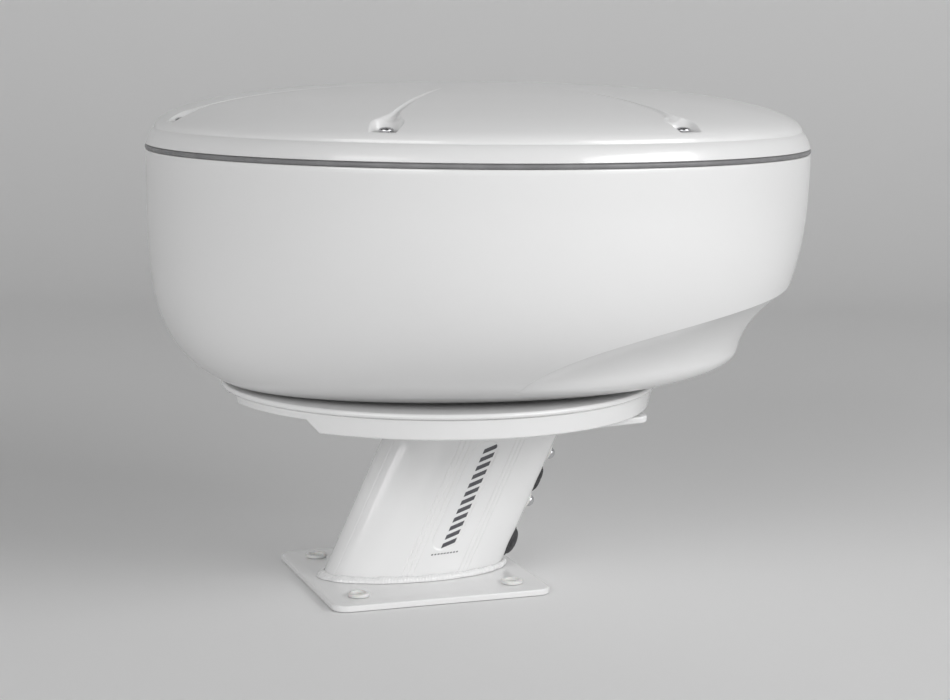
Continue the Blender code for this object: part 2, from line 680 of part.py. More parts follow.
def tower_point(angle, z, offset=0.0):
    """Point on the leaning oval, at an angle counted from port to stern."""
    return Vector(((TOWER_B + offset) * math.cos(angle),
                   tower_centre(z) + (TOWER_A + offset) * math.sin(angle), z))


def tower_ring(z, offset=0.0, count=TOWER_SEGMENTS):
    return [tower_point(2 * math.pi * i / count, z, offset) for i in range(count)]


def tower_top_ring(offset, count=TOWER_SEGMENTS):
    """Ring on the plane just under the tilted top plate."""
    points = []
    for i in range(count):
        angle = 2 * math.pi * i / count
        reach = (TOWER_A + offset) * math.sin(angle)
        start = TOP_REF_Z - GAP + TILT * (TOWER_Y - LEAN * FOOT_T + reach - TOP_REF_Y)
        points.append(tower_point(angle, start / (1 - TILT * LEAN), offset))
    return points


def strip_patch(name, low, high, half_angle, outer, inner):
    """Curved strip on the port side of the tower, following its lean."""
    steps = 8
    rings = []
    for i in range(steps + 1):
        angle = half_angle * (2 * i / steps - 1)
        rings.append([tower_point(angle, low, inner), tower_point(angle, low, outer),
                      tower_point(angle, high, outer), tower_point(angle, high, inner)])
    return loft(name, rings)


def tower_rear(z):
    return tower_centre(z) + TOWER_A


def build_tower():
    low = FOOT_T + GAP
    rings = [tower_ring(low, -TOWER_T), tower_ring(low), tower_top_ring(0.0), tower_top_ring(-TOWER_T)]
    tower = add_object("tower_tube", loft("tower_tube", rings, True), "white_paint")
    pocket = strip_patch("strip_pocket", STRIP_LOW - 0.001, STRIP_HIGH + 0.001, STRIP_HALF + 0.01,
                         0.003, -0.0014)
    boolean(tower, pocket, 'DIFFERENCE')
    strip = strip_patch("name_strip", STRIP_LOW, STRIP_HIGH, STRIP_HALF, -0.0001, -0.0010)
    add_object("name_strip", strip, "dark_strip")
    for name, (z, radius) in SEALS.items():
        hole = along_y(f"hole_{name}", [(radius, -0.02), (radius, 0.02)], tower_rear(z), z)
        boolean(tower, hole, 'DIFFERENCE')
        body = radius - GAP
        face = 0.0055 + LEAN * radius
        profile = [(0, -0.010), (body, -0.010), (body, face), (radius + 0.0015, face),
                   (radius + 0.0010, face + 0.0030), (radius * 0.6, face + 0.0055), (0, face + 0.0065)]
        seal = along_y(name, profile, tower_rear(z), z)
        add_object(name, seal, "black_rubber")
    for i, z in enumerate(SEAL_SCREW_Z, 1):
        hole = along_y(f"seal_screw_hole_{i}", [(0.0024, -0.01), (0.0024, 0.01)], tower_rear(z), z, 12)
        boolean(tower, hole, 'DIFFERENCE')
        start = LEAN * 0.006 + 0.0006
        profile = [(0, -0.008), (0.0020, -0.008), (0.0020, start + 0.0014), (0.0044, start + 0.0014),
                   (0.0040, start + 0.0034), (0, start + 0.0046)]
        add_object(f"seal_screw_{i}", along_y(f"seal_screw_{i}", profile, tower_rear(z), z, 10), "stainless")
        ring = [(0.0024, start), (0.0056, start), (0.0056, start + 0.0011), (0.0024, start + 0.0011)]
        washer = along_y(f"seal_washer_{i}", ring, tower_rear(z), z, 12, True)
        add_object(f"seal_washer_{i}", washer, "nylon")

    bead = [tower_ring(low, GAP), tower_ring(low, 0.0045), tower_ring(low + 0.0024, 0.0036),
            tower_ring(low + 0.0042, GAP + 0.0004)]
    add_object("weld_bead", loft("weld_bead", bead, True), "white_paint")
    build_foot()
    build_top_plate()


def build_foot():
    half = FOOT_SIZE / 2
    centre = (0, TOWER_Y)
    edge = 0.0008
    rings = [rounded_square(half - edge, FOOT_CORNER - edge, 0, centre),
             rounded_square(half, FOOT_CORNER, edge, centre),
             rounded_square(half, FOOT_CORNER, FOOT_T - edge, centre),
             rounded_square(half - edge, FOOT_CORNER - edge, FOOT_T, centre)]
    foot = add_object("base_plate", loft("base_plate", rings), "white_paint")
    places = [(x, TOWER_Y + y) for x in (-BUSH_OFFSET, BUSH_OFFSET) for y in (-BUSH_OFFSET, BUSH_OFFSET)]
    holes = [(x, y, 0.0063, -0.01, 0.02) for x, y in places] + [(0, TOWER_Y, CABLE_R, -0.01, 0.02)]
    boolean(foot, cylinders("foot_holes", holes, 16), 'DIFFERENCE')
    top = FOOT_T + GAP
    profile = [(0.0042, 0.0004), (0.0060, 0.0004), (0.0060, top), (0.0085, top),
               (0.0085, top + 0.0019), (0.0078, top + 0.0026), (0.0042, top + 0.0026)]
    bush = turned("deck_bush", profile, 12, True)
    for i, (x, y) in enumerate(places, 1):
        add_object(f"deck_bush_{i}", bush, "nylon", (x, y, 0))


def build_top_plate():
    """Tilted plate: square at the stern, narrowing to a round front end."""
    corner = 0.008
    nose_turns = [math.radians(t) for t in range(-75, 1, 15)]
    corner_turns = [math.radians(t) for t in (0, 22.5, 45, 67.5, 90)]
    port = [(NOSE_R * math.cos(t), NOSE_Y + NOSE_R * math.sin(t)) for t in nose_turns]
    port.append((TOP_HALF, TOP_SHOULDER))
    port += [(TOP_HALF - corner + corner * math.cos(t), TOP_REAR - corner + corner * math.sin(t))
             for t in corner_turns]
    points = port + [(-x, y) for x, y in reversed(port)]
    rings = [[Vector((x, y, top_plate_under(y) + lift)) for x, y in points] for lift in (0, TOP_T)]
    plate = add_object("tower_top_plate", loft("tower_top_plate", rings), "white_paint")
    middle = tower_centre(TOP_REF_Z)
    holes = [(x, y, 0.0034, 0.10, 0.16) for x, y in wedge_bolt_places()]
    holes.append((0, middle, CABLE_R, 0.10, 0.16))
    boolean(plate, cylinders("top_plate_holes", holes, 20), 'DIFFERENCE')


def build():
    clear_scene()
    spin_body = add_empty("spin_axis", (0, 0, 0))
    pinion_body = add_empty("pinion_axis", (MOTOR_X, 0, 0))
    cover_body = add_empty("cover_axis", (0, 0, 0))
    build_tower()
    build_platform()
    build_radome(cover_body)
    build_connections()
    build_scanner(spin_body, pinion_body)


build()
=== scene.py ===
"""Looks of the radar dome antenna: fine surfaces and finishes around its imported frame.

Metres, +Z up.  The bow is at -Y, port at +X, and the antenna turns about the Z axis.
"""
from math import copysign, cos, hypot, pi, radians, remainder, sin, sqrt

import bmesh
import bpy
from mathutils import Matrix, Vector


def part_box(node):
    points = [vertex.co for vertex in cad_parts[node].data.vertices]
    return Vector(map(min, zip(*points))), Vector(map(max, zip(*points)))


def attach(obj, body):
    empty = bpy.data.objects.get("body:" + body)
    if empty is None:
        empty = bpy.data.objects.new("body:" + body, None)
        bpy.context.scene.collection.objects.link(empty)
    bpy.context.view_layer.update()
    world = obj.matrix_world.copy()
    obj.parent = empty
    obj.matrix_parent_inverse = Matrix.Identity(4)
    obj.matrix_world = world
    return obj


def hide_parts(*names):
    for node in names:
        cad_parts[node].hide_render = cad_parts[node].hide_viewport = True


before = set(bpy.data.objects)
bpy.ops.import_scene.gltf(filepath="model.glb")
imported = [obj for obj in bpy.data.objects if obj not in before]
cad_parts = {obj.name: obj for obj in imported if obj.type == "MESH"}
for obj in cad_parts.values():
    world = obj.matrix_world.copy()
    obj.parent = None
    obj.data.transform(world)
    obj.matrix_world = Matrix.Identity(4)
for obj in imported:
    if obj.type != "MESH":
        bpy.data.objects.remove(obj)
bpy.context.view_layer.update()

GAP = 0.0003                 # clearance between touching pieces
SHARP = 38                   # degrees from which an edge is shaded hard
FOUR = (1, 2, 3, 4)          # numbers of the fasteners that come in fours


# ---- sizes
def middle_of(node):
    low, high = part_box(node)
    return (low + high) / 2


def radius_of(node):
    low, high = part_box(node)
    return (high.x - low.x) / 2


def heights(node):
    """Heights of a node's underside and top."""
    return [corner.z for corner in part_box(node)]


def upright_at(node):
    """Frame at height 0 on a node's vertical axis."""
    middle = middle_of(node)
    return Matrix.Translation((middle.x, middle.y, 0))


GASKET_LOW, GASKET_HIGH = heights("cover_gasket")
SEAM_Z = (GASKET_LOW + GASKET_HIGH) / 2
SEAM_R = 0.2604              # radome's radius at the gasket
SHELL_TOP = GASKET_LOW - GAP
COVER_LOW = GASKET_HIGH + GAP
FLOOR_Z = heights("base_shell")[0]
WALL = 0.0032
FLANGE_R = 0.212             # inner radius of the screw flange
FLANGE_T = 0.005
CABLE_R = 0.024

# Bowl: depth at which it would close, and its exponents across and down
BOW = (0.1991, 4.03, 4.64)
BEAM = (0.1925, 2.69, 3.46)
STERN = (0.2130, 3.55, 2.43)

# Scoop under the stern: an upright oval wall on a rounded lip, flaring out to a crease on the bowl
SCOOP_Y = -0.0300            # middle of the oval
SCOOP_WIDTH = 0.1885         # its half width
SCOOP_LENGTH = 0.2445        # its half length
LIP_H = 0.020
SIDE_LIP_IN = 0.052          # how far the lip draws in at the sides
LIP_IN = 0.075               # and fore and aft
FLARE = 1.7
CREASE_LOW = 0.1811          # height of the crease at its tips
CREASE_RISE = 0.0620         # how much higher it is at the stern
CREASE_FROM = radians(80.2)  # angle of its tips from the bow
CREASE_AFT = 3.1             # exponents of its course, towards the stern
CREASE_UP = 1.7              # and upwards
INNER_STEP_Z = 0.1887        # height of the last inner ring on the wall

# Cover
CREASE_R = 0.2536            # where the rim band meets the dome
CREASE_Z = SEAM_Z + 0.0144
DOME_H = 0.0353
DOME_POWER = 2.4
COVER_T = 0.0028
SCREWS = 7
SCREW_R = 0.2408
SCREW_HOLE_R = 0.0029
SCREW_START = radians(4)
SCREW_STEP = 2 * pi / SCREWS
SCREW_ANGLES = [SCREW_START + SCREW_STEP * i for i in range(SCREWS)]
POCKET_FLOOR = SEAM_Z + 0.0212
POCKET_R = 0.0095
POCKET_SLOPE = 2.6
POCKET_LIP = 0.0010          # reach of the rounding between a pocket and the dome
FLUTE_IN = 0.104             # where a flute fades out
FLUTE_OUT = 0.2290           # where it runs into its pocket
FLUTE_MOUTH = 0.2160         # where it starts to flare
FLUTE_HALF = 0.0031
FLUTE_DEPTH = 0.0026

# Tower
FOOT_T = 0.0051
TOWER_Y = middle_of("base_plate").y
TOWER_A = 0.0745             # half length of its oval, fore and aft
TOWER_B = 0.0360             # half width
TOWER_T = 0.0035
LEAN = 0.463                 # rearward shift for each unit of height
SLANT = hypot(1, LEAN)       # length along the tower for each unit of height
TOP_T = 0.0052
TILT = 0.05                  # rise of the top plate towards the stern
TOP_REF_Y = 0.104
TOP_REF_Z = 0.1360           # underside of the top plate at TOP_REF_Y
STRIP_LOW = 0.0395           # recess for the graphic: middles of its round ends
STRIP_HIGH = 0.1046
STRIP_MIDDLE = radians(1.7)
STRIP_HALF = 0.0120          # half width, measured along the oval
STRIP_DEPTH = 0.0009
STRIP_BANK = 0.0011          # width of its rounded bank
GROOVES = (-70, -17, -13.8, -10.6, 20.5, 23.9, 27.3)     # degrees from port to stern
FINE_GROOVE = 0.00045        # half width of a groove
GROOVE_DEPTH = 0.00035


# ---- mesh helpers
class Shape:
    """Points and faces of one mesh, built from rings."""

    def __init__(self):
        self.points = []
        self.faces = []

    def loft(self, rings, closed=False):
        """Skin a list of point loops; a one-point ring is a pole."""
        rows = []
        for ring in rings:
            rows.append((len(self.points), len(ring)))
            self.points.extend(ring)
        pairs = list(zip(rows, rows[1:]))
        if closed:
            pairs.append((rows[-1], rows[0]))
        for (a, a_count), (b, b_count) in pairs:
            count = max(a_count, b_count)
            for i in range(count):
                j = (i + 1) % count
                corners = [a + i % a_count, a + j % a_count, b + j % b_count, b + i % b_count]
                self.faces.append(list(dict.fromkeys(corners)))
        if not closed:
            for start, count in (rows[0], rows[-1]):
                if count > 2:
                    self.faces.append(list(range(start, start + count)))
        return self

    def turned(self, profile, segments=48, closed=False, place=Matrix.Identity(4)):
        """Body of revolution of (radius, height) points about place's Z axis."""
        rings = []
        for radius, height in profile:
            turns = [0] if radius <= 0 else [2 * pi * i / segments for i in range(segments)]
            rings.append([place @ Vector((radius * sin(t), -radius * cos(t), height))
                          for t in turns])
        return self.loft(rings, closed)

    def box(self, low, high, place=Matrix.Identity(4)):
        corners = ((low[0], low[1]), (high[0], low[1]), (high[0], high[1]), (low[0], high[1]))
        return self.loft([[place @ Vector((x, y, z)) for x, y in corners] for z in (low[2], high[2])])


def mesh_of(name, shape, sharp=SHARP):
    mesh = bpy.data.meshes.new(name)
    mesh.from_pydata(shape.points, [], shape.faces)
    bm = bmesh.new()
    bm.from_mesh(mesh)
    bmesh.ops.recalc_face_normals(bm, faces=bm.faces)
    bm.to_mesh(mesh)
    bm.free()
    mesh.shade_smooth()
    mesh.set_sharp_from_angle(angle=radians(sharp))
    return mesh


def add_object(name, data):
    item = bpy.data.objects.new(name, data)
    bpy.context.scene.collection.objects.link(item)
    return item


def piece(name, shape, finish, nodes=(), body="base", sharp=SHARP):
    """A visible piece with its finish, on its body, in place of its CAD nodes."""
    item = add_object(name, mesh_of(name, shape, sharp))
    item.data.materials.append(FINISHES[finish])
    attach(item, body)
    if nodes:
        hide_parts(*nodes)
    return item


def cut(item, shape):
    """Take a closed shape out of a piece."""
    cutter = add_object("cutter", mesh_of("cutter", shape))
    step = item.modifiers.new("cut", 'BOOLEAN')
    step.operation = 'DIFFERENCE'
    step.object = cutter
    bpy.context.view_layer.update()
    result = bpy.data.meshes.new_from_object(item.evaluated_get(bpy.context.evaluated_depsgraph_get()))
    item.modifiers.clear()
    item.data = result
    result.shade_smooth()
    result.set_sharp_from_angle(angle=radians(SHARP))
    bpy.data.objects.remove(cutter, do_unlink=True)


def soften(item, width, segments=3):
    """Round a piece's hard edges."""
    step = item.modifiers.new("rounded", 'BEVEL')
    step.width = width
    step.segments = segments
    step.limit_method = 'ANGLE'
    step.angle_limit = radians(35)
    step.harden_normals = True


def polar(radius, angle, z, centre=(0, 0)):
    """Point at an angle from the bow, counted towards port."""
    return Vector((centre[0] + radius * sin(angle), centre[1] - radius * cos(angle), z))


def circle(radius, z, count, centre=(0, 0)):
    return [polar(radius, 2 * pi * i / count, z, centre) for i in range(count)]


def share_steps(count):
    """Shares from 0 to 1, evenly spaced."""
    return [i / count for i in range(count + 1)]


def blend(start, end, share):
    return start + (end - start) * share


def spread(start, end, steps):
    """Numbers from start to end, evenly spaced."""
    return [blend(start, end, share) for share in share_steps(steps)]


def oval_arc(centre, across, up, start, end, steps):
    """Points of an oval stretch of a profile; angles in degrees from its first axis."""
    turns = [radians(degrees) for degrees in spread(start, end, steps)]
    return [(centre[0] + across * cos(t), centre[1] + up * sin(t)) for t in turns]


def arc(centre, radius, start, end, steps):
    return oval_arc(centre, radius, radius, start, end, steps)


def smooth(share):
    """Share from 0 to 1 that starts and ends gently."""
    return share * share * (3 - 2 * share)


def soft_min(a, b, reach):
    """The smaller of two values, rounded where they are within reach of each other."""
    near = max(reach - abs(a - b), 0) / reach
    return min(a, b) - near * near * reach / 4


def facing(place, normal):
    """Frame at a place whose Z axis points along a normal."""
    return Matrix.Translation(place) @ Vector(normal).to_track_quat('Z', 'Y').to_matrix().to_4x4()


# ---- finishes
def feed(tree, node, **inputs):
    """Set a node's inputs, each to a value or to another node's output."""
    for name, value in inputs.items():
        socket = node.inputs[name.replace("_", " ")]
        if isinstance(value, bpy.types.NodeSocket):
            tree.links.new(value, socket)
        else:
            socket.default_value = value
    return node


class Finish:
    """A Principled material whose colour, roughness and bump come from noise in object space."""

    def __init__(self, name, colour, metallic=0.0, **sockets):
        self.name = name
        self.material = bpy.data.materials.new(f"fine_{name}")
        self.material.use_nodes = True
        self.tree = self.material.node_tree
        self.colour = colour
        self.shade(Base_Color=(*colour, 1), Metallic=metallic, **sockets)
        self.place = self.node("TexCoord").outputs["Object"]

    def node(self, kind, **inputs):
        return feed(self.tree, self.tree.nodes.new(f"ShaderNode{kind}"), **inputs)

    def shade(self, **inputs):
        feed(self.tree, self.tree.nodes["Principled BSDF"], **inputs)
        return self

    def noise(self, size, detail=3.0, stretch=None):
        """Noise with features of about that size."""
        place = self.place
        if stretch:
            place = self.node("Mapping", Vector=place, Scale=stretch).outputs["Vector"]
        return self.node("TexNoise", Vector=place, Scale=1 / size, Detail=detail).outputs["Fac"]

    def ranged(self, value, low, high, start=0.3, end=0.7):
        node = self.node("MapRange", Value=value, From_Min=start, From_Max=end, To_Min=low, To_Max=high)
        node.interpolation_type = 'SMOOTHSTEP'
        return node.outputs["Result"]

    def roughen(self, low, high, size, **options):
        return self.shade(Roughness=self.ranged(self.noise(size, **options), low, high))

    def mottle(self, other, size, start=0.35, end=0.65, **options):
        """Drift between the base colour and another one."""
        share = self.ranged(self.noise(size, **options), 0, 1, start, end)
        mix = self.node("Mix")
        mix.data_type = 'RGBA'
        feed(self.tree, mix, A=(*self.colour, 1), B=(*other, 1), Factor=share)
        return self.shade(Base_Color=mix.outputs["Result"])

    def bump(self, height, distance):
        return self.shade(Normal=self.node("Bump", Height=height, Distance=distance).outputs["Normal"])

    def grain(self, size, detail, depth, **options):
        return self.bump(self.noise(size, detail, **options), depth)

    def pebbles(self, size, depth):
        cells = self.node("TexVoronoi", Vector=self.place, Scale=1 / size)
        return self.bump(cells.outputs["Distance"], depth)

    def tracks(self):
        """Copper tracks under the lacquer of a circuit board."""
        brick = self.node("TexBrick", Vector=self.place, Scale=260, Mortar_Size=0.10,
                          Color1=(0.014, 0.105, 0.048, 1), Color2=(0.020, 0.140, 0.065, 1),
                          Mortar=(0.045, 0.230, 0.095, 1))
        return self.shade(Base_Color=brick.outputs["Color"]).bump(brick.outputs["Fac"], 0.00003)


def grey(value):
    return (value, value, value)


def make_finishes():
    """Every finish by name."""
    made = [
        Finish("gel_coat", grey(0.80), Coat_Weight=0.5, Coat_Roughness=0.07)
        .mottle(grey(0.797), 0.12, 0.1, 0.9, detail=0.5)
        .roughen(0.285, 0.31, 0.15, detail=0.5).grain(0.004, 1.0, 0.000004),
        Finish("white_paint", grey(0.82), Coat_Weight=0.4, Coat_Roughness=0.08)
        .mottle(grey(0.817), 0.08, 0.1, 0.9, detail=0.5)
        .roughen(0.18, 0.21, 0.10, detail=0.5).grain(0.0016, 1.0, 0.000008),
        Finish("painted_weld", grey(0.82), Coat_Weight=0.4, Coat_Roughness=0.08)
        .roughen(0.20, 0.34, 0.004).grain(0.0012, 3.0, 0.00005),
        Finish("cast_aluminium", (0.50, 0.51, 0.52), 0.95)
        .mottle((0.43, 0.44, 0.455), 0.012).roughen(0.38, 0.55, 0.003).grain(0.0009, 4.0, 0.00008),
        Finish("stainless", (0.62, 0.62, 0.63), 1.0)
        .mottle((0.55, 0.55, 0.565), 0.004).roughen(0.16, 0.30, 0.0012, stretch=(1, 1, 6))
        .grain(0.0006, 2.0, 0.000006, stretch=(1, 1, 12)),
        Finish("black_rubber", (0.030, 0.030, 0.032))
        .mottle((0.050, 0.050, 0.052), 0.003).roughen(0.48, 0.66, 0.002).grain(0.0005, 3.0, 0.00003),
        Finish("grey_rubber", (0.19, 0.19, 0.195))
        .mottle((0.23, 0.23, 0.235), 0.02).roughen(0.34, 0.50, 0.004).grain(0.0008, 3.0, 0.00003),
        Finish("nylon", (0.80, 0.80, 0.785), Subsurface_Weight=0.08, Subsurface_Scale=0.002)
        .mottle((0.74, 0.74, 0.725), 0.01).roughen(0.36, 0.50, 0.003).grain(0.0009, 3.0, 0.00002),
        Finish("dark_strip", (0.075, 0.075, 0.085))
        .mottle((0.095, 0.095, 0.105), 0.006).roughen(0.32, 0.44, 0.004).grain(0.0007, 2.0, 0.00001),
        Finish("black_plastic", (0.022, 0.022, 0.024))
        .mottle((0.034, 0.034, 0.036), 0.008).roughen(0.34, 0.48, 0.002).pebbles(0.0009, 0.00003),
        Finish("gear_nylon", (0.66, 0.62, 0.50), Subsurface_Weight=0.1, Subsurface_Scale=0.002)
        .mottle((0.60, 0.555, 0.44), 0.012).roughen(0.38, 0.52, 0.003).grain(0.0008, 3.0, 0.00002),
        Finish("brass", (0.72, 0.52, 0.22), 1.0)
        .mottle((0.62, 0.43, 0.17), 0.004).roughen(0.22, 0.36, 0.0015).grain(0.0005, 2.0, 0.00001),
        Finish("tinned_copper", (0.72, 0.50, 0.30), 1.0)
        .mottle((0.66, 0.60, 0.50), 0.005).roughen(0.26, 0.40, 0.002).grain(0.0006, 2.0, 0.00001),
        Finish("circuit_green", (0.016, 0.12, 0.055), Coat_Weight=0.4, Coat_Roughness=0.15)
        .roughen(0.28, 0.42, 0.003).tracks(),
        Finish("studio_floor", grey(0.84), Roughness=0.9).mottle(grey(0.837), 0.6),
    ]
    return {finish.name: finish.material for finish in made}


FINISHES = make_finishes()


# ---- radome shell
def superellipse(depth, reach, across, down):
    return SEAM_R * max(1 - (max(depth, 0) / reach) ** down, 0) ** (1 / across)


def bowl_radius(angle, z):
    """Horizontal radius of the bowl at an angle from the bow."""
    depth = SEAM_Z - z
    fore = superellipse(depth, *(BOW if cos(angle) > 0 else STERN))
    side = superellipse(depth, *BEAM)
    return 1 / hypot(cos(angle) / fore, sin(angle) / side)


def scoop_wall(angle, rise):
    """Distance from the antenna's axis to the scoop's oval wall, drawn in over its lower lip."""
    share = max(LIP_H - rise, 0) / LIP_H
    drawn = 1 - sqrt(max(1 - share ** 2, 0))
    width = SCOOP_WIDTH - SIDE_LIP_IN * drawn
    length = SCOOP_LENGTH - LIP_IN * drawn
    square = (sin(angle) / width) ** 2 + (cos(angle) / length) ** 2
    along = cos(angle) * SCOOP_Y / length ** 2
    return (sqrt(along ** 2 + square * (1 - (SCOOP_Y / length) ** 2)) - along) / square


def crease_height(angle):
    """Height of the edge between bowl and scoop at an angle from the bow."""
    turn = abs(remainder(angle, 2 * pi))
    share = max(turn - CREASE_FROM, 0) / (pi - CREASE_FROM)
    return CREASE_LOW + CREASE_RISE * (1 - (1 - share) ** CREASE_AFT) ** (1 / CREASE_UP)


def shell_radius(angle, z):
    """Outer radius of the base shell: the bowl, or the scoop below the crease."""
    bowl = bowl_radius(angle, z)
    crease = crease_height(angle)
    if z >= crease:
        return bowl
    wall = scoop_wall(angle, z - FLOOR_Z)
    if z > CREASE_LOW:
        flare = max(bowl_radius(angle, crease) - scoop_wall(angle, LIP_H), 0)
        wall += flare * ((z - CREASE_LOW) / (crease - CREASE_LOW)) ** FLARE
    return min(bowl, wall)


def shell_ring(heights, turns, inset=0.0, lift=0.0):
    """Ring inside the shell's surface by inset, with the outline that it has lift lower down."""
    return [polar(shell_radius(angle, z - lift) - inset, angle, z) for angle, z in zip(turns, heights)]


def make_shell():
    count = 360
    turns = [2 * pi * i / count for i in range(count)]
    creases = [crease_height(angle) for angle in turns]
    inner_floor = FLOOR_Z + WALL
    flat_r = 0.10
    edge = 0.0007

    def level(z, inset=0.0, lift=0.0):
        return shell_ring([z] * count, turns, inset, lift)

    rings = [circle(CABLE_R, FLOOR_Z, count), circle(flat_r, FLOOR_Z, count), level(FLOOR_Z, 0.0012)]
    rings += [shell_ring([blend(FLOOR_Z + 0.0003, crease, smooth(share)) for crease in creases], turns)
              for share in share_steps(40)]
    rings += [shell_ring([blend(crease, SHELL_TOP - edge, share ** 1.5) for crease in creases], turns)
              for share in share_steps(64)[1:]]
    rings += [level(SHELL_TOP - 0.0002, 0.0002), level(SHELL_TOP, edge), level(SHELL_TOP, WALL)]
    rings += [level(z, WALL, WALL) for z in spread(SHELL_TOP - FLANGE_T, INNER_STEP_Z, 14)]
    rings += [level(z, WALL, WALL) for z in spread(INNER_STEP_Z, inner_floor, 10)[1:]]
    rings += [circle(flat_r, inner_floor, count), circle(CABLE_R, inner_floor, count)]
    piece("radome_shell", Shape().loft(rings, True), "gel_coat", ["base_shell"], sharp=50)

    # screw flange inside the rim, with a hole for each cover screw
    low = SHELL_TOP - FLANGE_T
    profile = [(FLANGE_R, low + 0.0006), (FLANGE_R, SHELL_TOP - 0.0006), (FLANGE_R + 0.0006, SHELL_TOP),
               (SEAM_R - WALL, SHELL_TOP), (SEAM_R - WALL, low), (FLANGE_R + 0.0006, low)]
    flange = piece("screw_flange", Shape().turned(profile, 180, True), "gel_coat")
    holes = Shape()
    for angle in SCREW_ANGLES:
        place = Matrix.Translation(polar(SCREW_R, angle, low - 0.01))
        holes.turned([(SCREW_HOLE_R, 0), (SCREW_HOLE_R, 0.03)], 24, place=place)
    cut(flange, holes)
    make_bosses(inner_floor)


def make_bosses(inner_floor):
    """Bosses on the shell's floor for the chassis screws, the radome bolts and the two boards."""
    bosses = Shape()
    top = heights("scanner_chassis")[0] - GAP
    high = inner_floor + 0.012
    for i in FOUR:
        bosses.turned([(0.0024, inner_floor), (0.0068, inner_floor), (0.0060, inner_floor + 0.0008),
                       (0.0056, top), (0.0024, top)], 32, True, upright_at(f"chassis_screw_{i}"))
    for i in FOUR:
        bosses.turned([(0, inner_floor), (0.0100, inner_floor), (0.0088, inner_floor + 0.0012),
                       (0.0084, high - 0.0008), (0.0076, high), (0, high)], 32, False,
                      upright_at(f"radome_bolt_{i}"))
    for board in ("main_board", "power_board"):
        low_corner, high_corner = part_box(board)
        for x in (low_corner.x + 0.005, high_corner.x - 0.005):
            for y in (low_corner.y + 0.005, high_corner.y - 0.005):
                bosses.turned([(0, inner_floor), (0.0038, inner_floor), (0.0030, inner_floor + 0.001),
                               (0.0029, low_corner.z - GAP), (0, low_corner.z - GAP)], 24, False,
                              Matrix.Translation((x, y, 0)))
    piece("shell_bosses", bosses, "gel_coat")


def make_gasket():
    """Flat ring with a rounded bead at the seam."""
    inner = 0.2555
    bead_r = SEAM_R - 0.0008
    bead = oval_arc((bead_r, SEAM_Z), 0.0012, (GASKET_HIGH - GASKET_LOW) / 2, -80, 80, 10)
    profile = [(inner, GASKET_LOW), (bead_r, GASKET_LOW)] + bead
    profile += [(bead_r, GASKET_HIGH), (inner, GASKET_HIGH)]
    piece("gasket_ring", Shape().turned(profile, 360, True), "grey_rubber", ["cover_gasket"], sharp=60)


# ---- cover
def dome_height(radius, drop=0.0):
    share = max(1 - (radius / (CREASE_R - drop)) ** DOME_POWER, 0)
    return CREASE_Z + (DOME_H - drop) * sqrt(share)


def cover_height(radius, angle, drop=0.0):
    """Height of the dome with its pockets and flutes; drop gives the surface inside the wall."""
    height = dome_height(min(radius, CREASE_R - drop), drop)
    turn = (angle - SCREW_START + SCREW_STEP / 2) % SCREW_STEP - SCREW_STEP / 2
    side = abs(radius * sin(turn))
    along = radius * cos(turn)
    share = min(max((along - FLUTE_IN) / (FLUTE_OUT - FLUTE_IN), 0), 1)
    if share > 0 and drop == 0 and along < SCREW_R:
        mouth = min(max((along - FLUTE_MOUTH) / (FLUTE_OUT - FLUTE_MOUTH), 0), 1)
        half = FLUTE_HALF * (0.30 + 0.70 * share) * (1 + 1.4 * mouth ** 2)
        height -= FLUTE_DEPTH * share ** 0.9 * (1 + 0.5 * mouth ** 2) * max(1 - (side / half) ** 2, 0)
    outside = hypot(side, min(along - SCREW_R, 0)) - (POCKET_R + 0.9 * drop)
    wall = POCKET_FLOOR - drop + max(outside, 0) * POCKET_SLOPE
    return soft_min(height, wall, POCKET_LIP)


def cover_turns():
    """Angles round the cover, closer together across each pocket and flute."""
    near = 36
    fine = 0.0022
    far = 20
    gap = SCREW_STEP - 2 * near * fine
    turns = []
    for middle in SCREW_ANGLES:
        turns += [middle + fine * k for k in range(-near, near + 1)]
        turns += [middle + fine * near + gap * k / far for k in range(1, far)]
    return turns


def make_cover():
    turns = cover_turns()
    fine_from = 0.222
    steep = [CREASE_R * (1 - (0.0006 * k / DOME_H) ** 2) ** (1 / DOME_POWER) for k in range(11)]
    radii = [0.02, 0.045, 0.07, 0.09] + spread(0.10, fine_from, 44)
    radii += spread(fine_from, steep[-1], 56)[1:]
    radii += steep[::-1][1:]
    outer = [[Vector((0, 0, dome_height(0)))]]
    for radius in radii:
        outer.append([polar(radius, angle, cover_height(radius, angle)) for angle in turns])
    band = [(0.25385, CREASE_Z - 0.0002), (0.2549, CREASE_Z - 0.0010), (0.2561, CREASE_Z - 0.0024),
            (0.2571, CREASE_Z - 0.0041), (0.2580, CREASE_Z - 0.0060), (0.2587, CREASE_Z - 0.0077),
            (0.2593, CREASE_Z - 0.0094), (0.2598, CREASE_Z - 0.0109), (0.2602, COVER_LOW + 0.0004),
            (0.2600, COVER_LOW + 0.0001), (0.2597, COVER_LOW)]
    inner = [(0.2560, COVER_LOW), (0.2532, SEAM_Z + 0.0090)]
    rings = [[polar(radius, angle, z) for angle in turns] for radius, z in band + inner]
    inside = spread(CREASE_R - COVER_T, fine_from, 18)
    for radius in inside + [0.21, 0.19, 0.16, 0.12, 0.08, 0.04]:
        rings.append([polar(radius, angle, cover_height(radius, angle, COVER_T)) for angle in turns])
    rings.append([Vector((0, 0, dome_height(0, COVER_T)))])
    piece("radome_cover", Shape().loft(outer + rings), "gel_coat", ["top_cover"], "cover", 50)
    make_cover_posts()


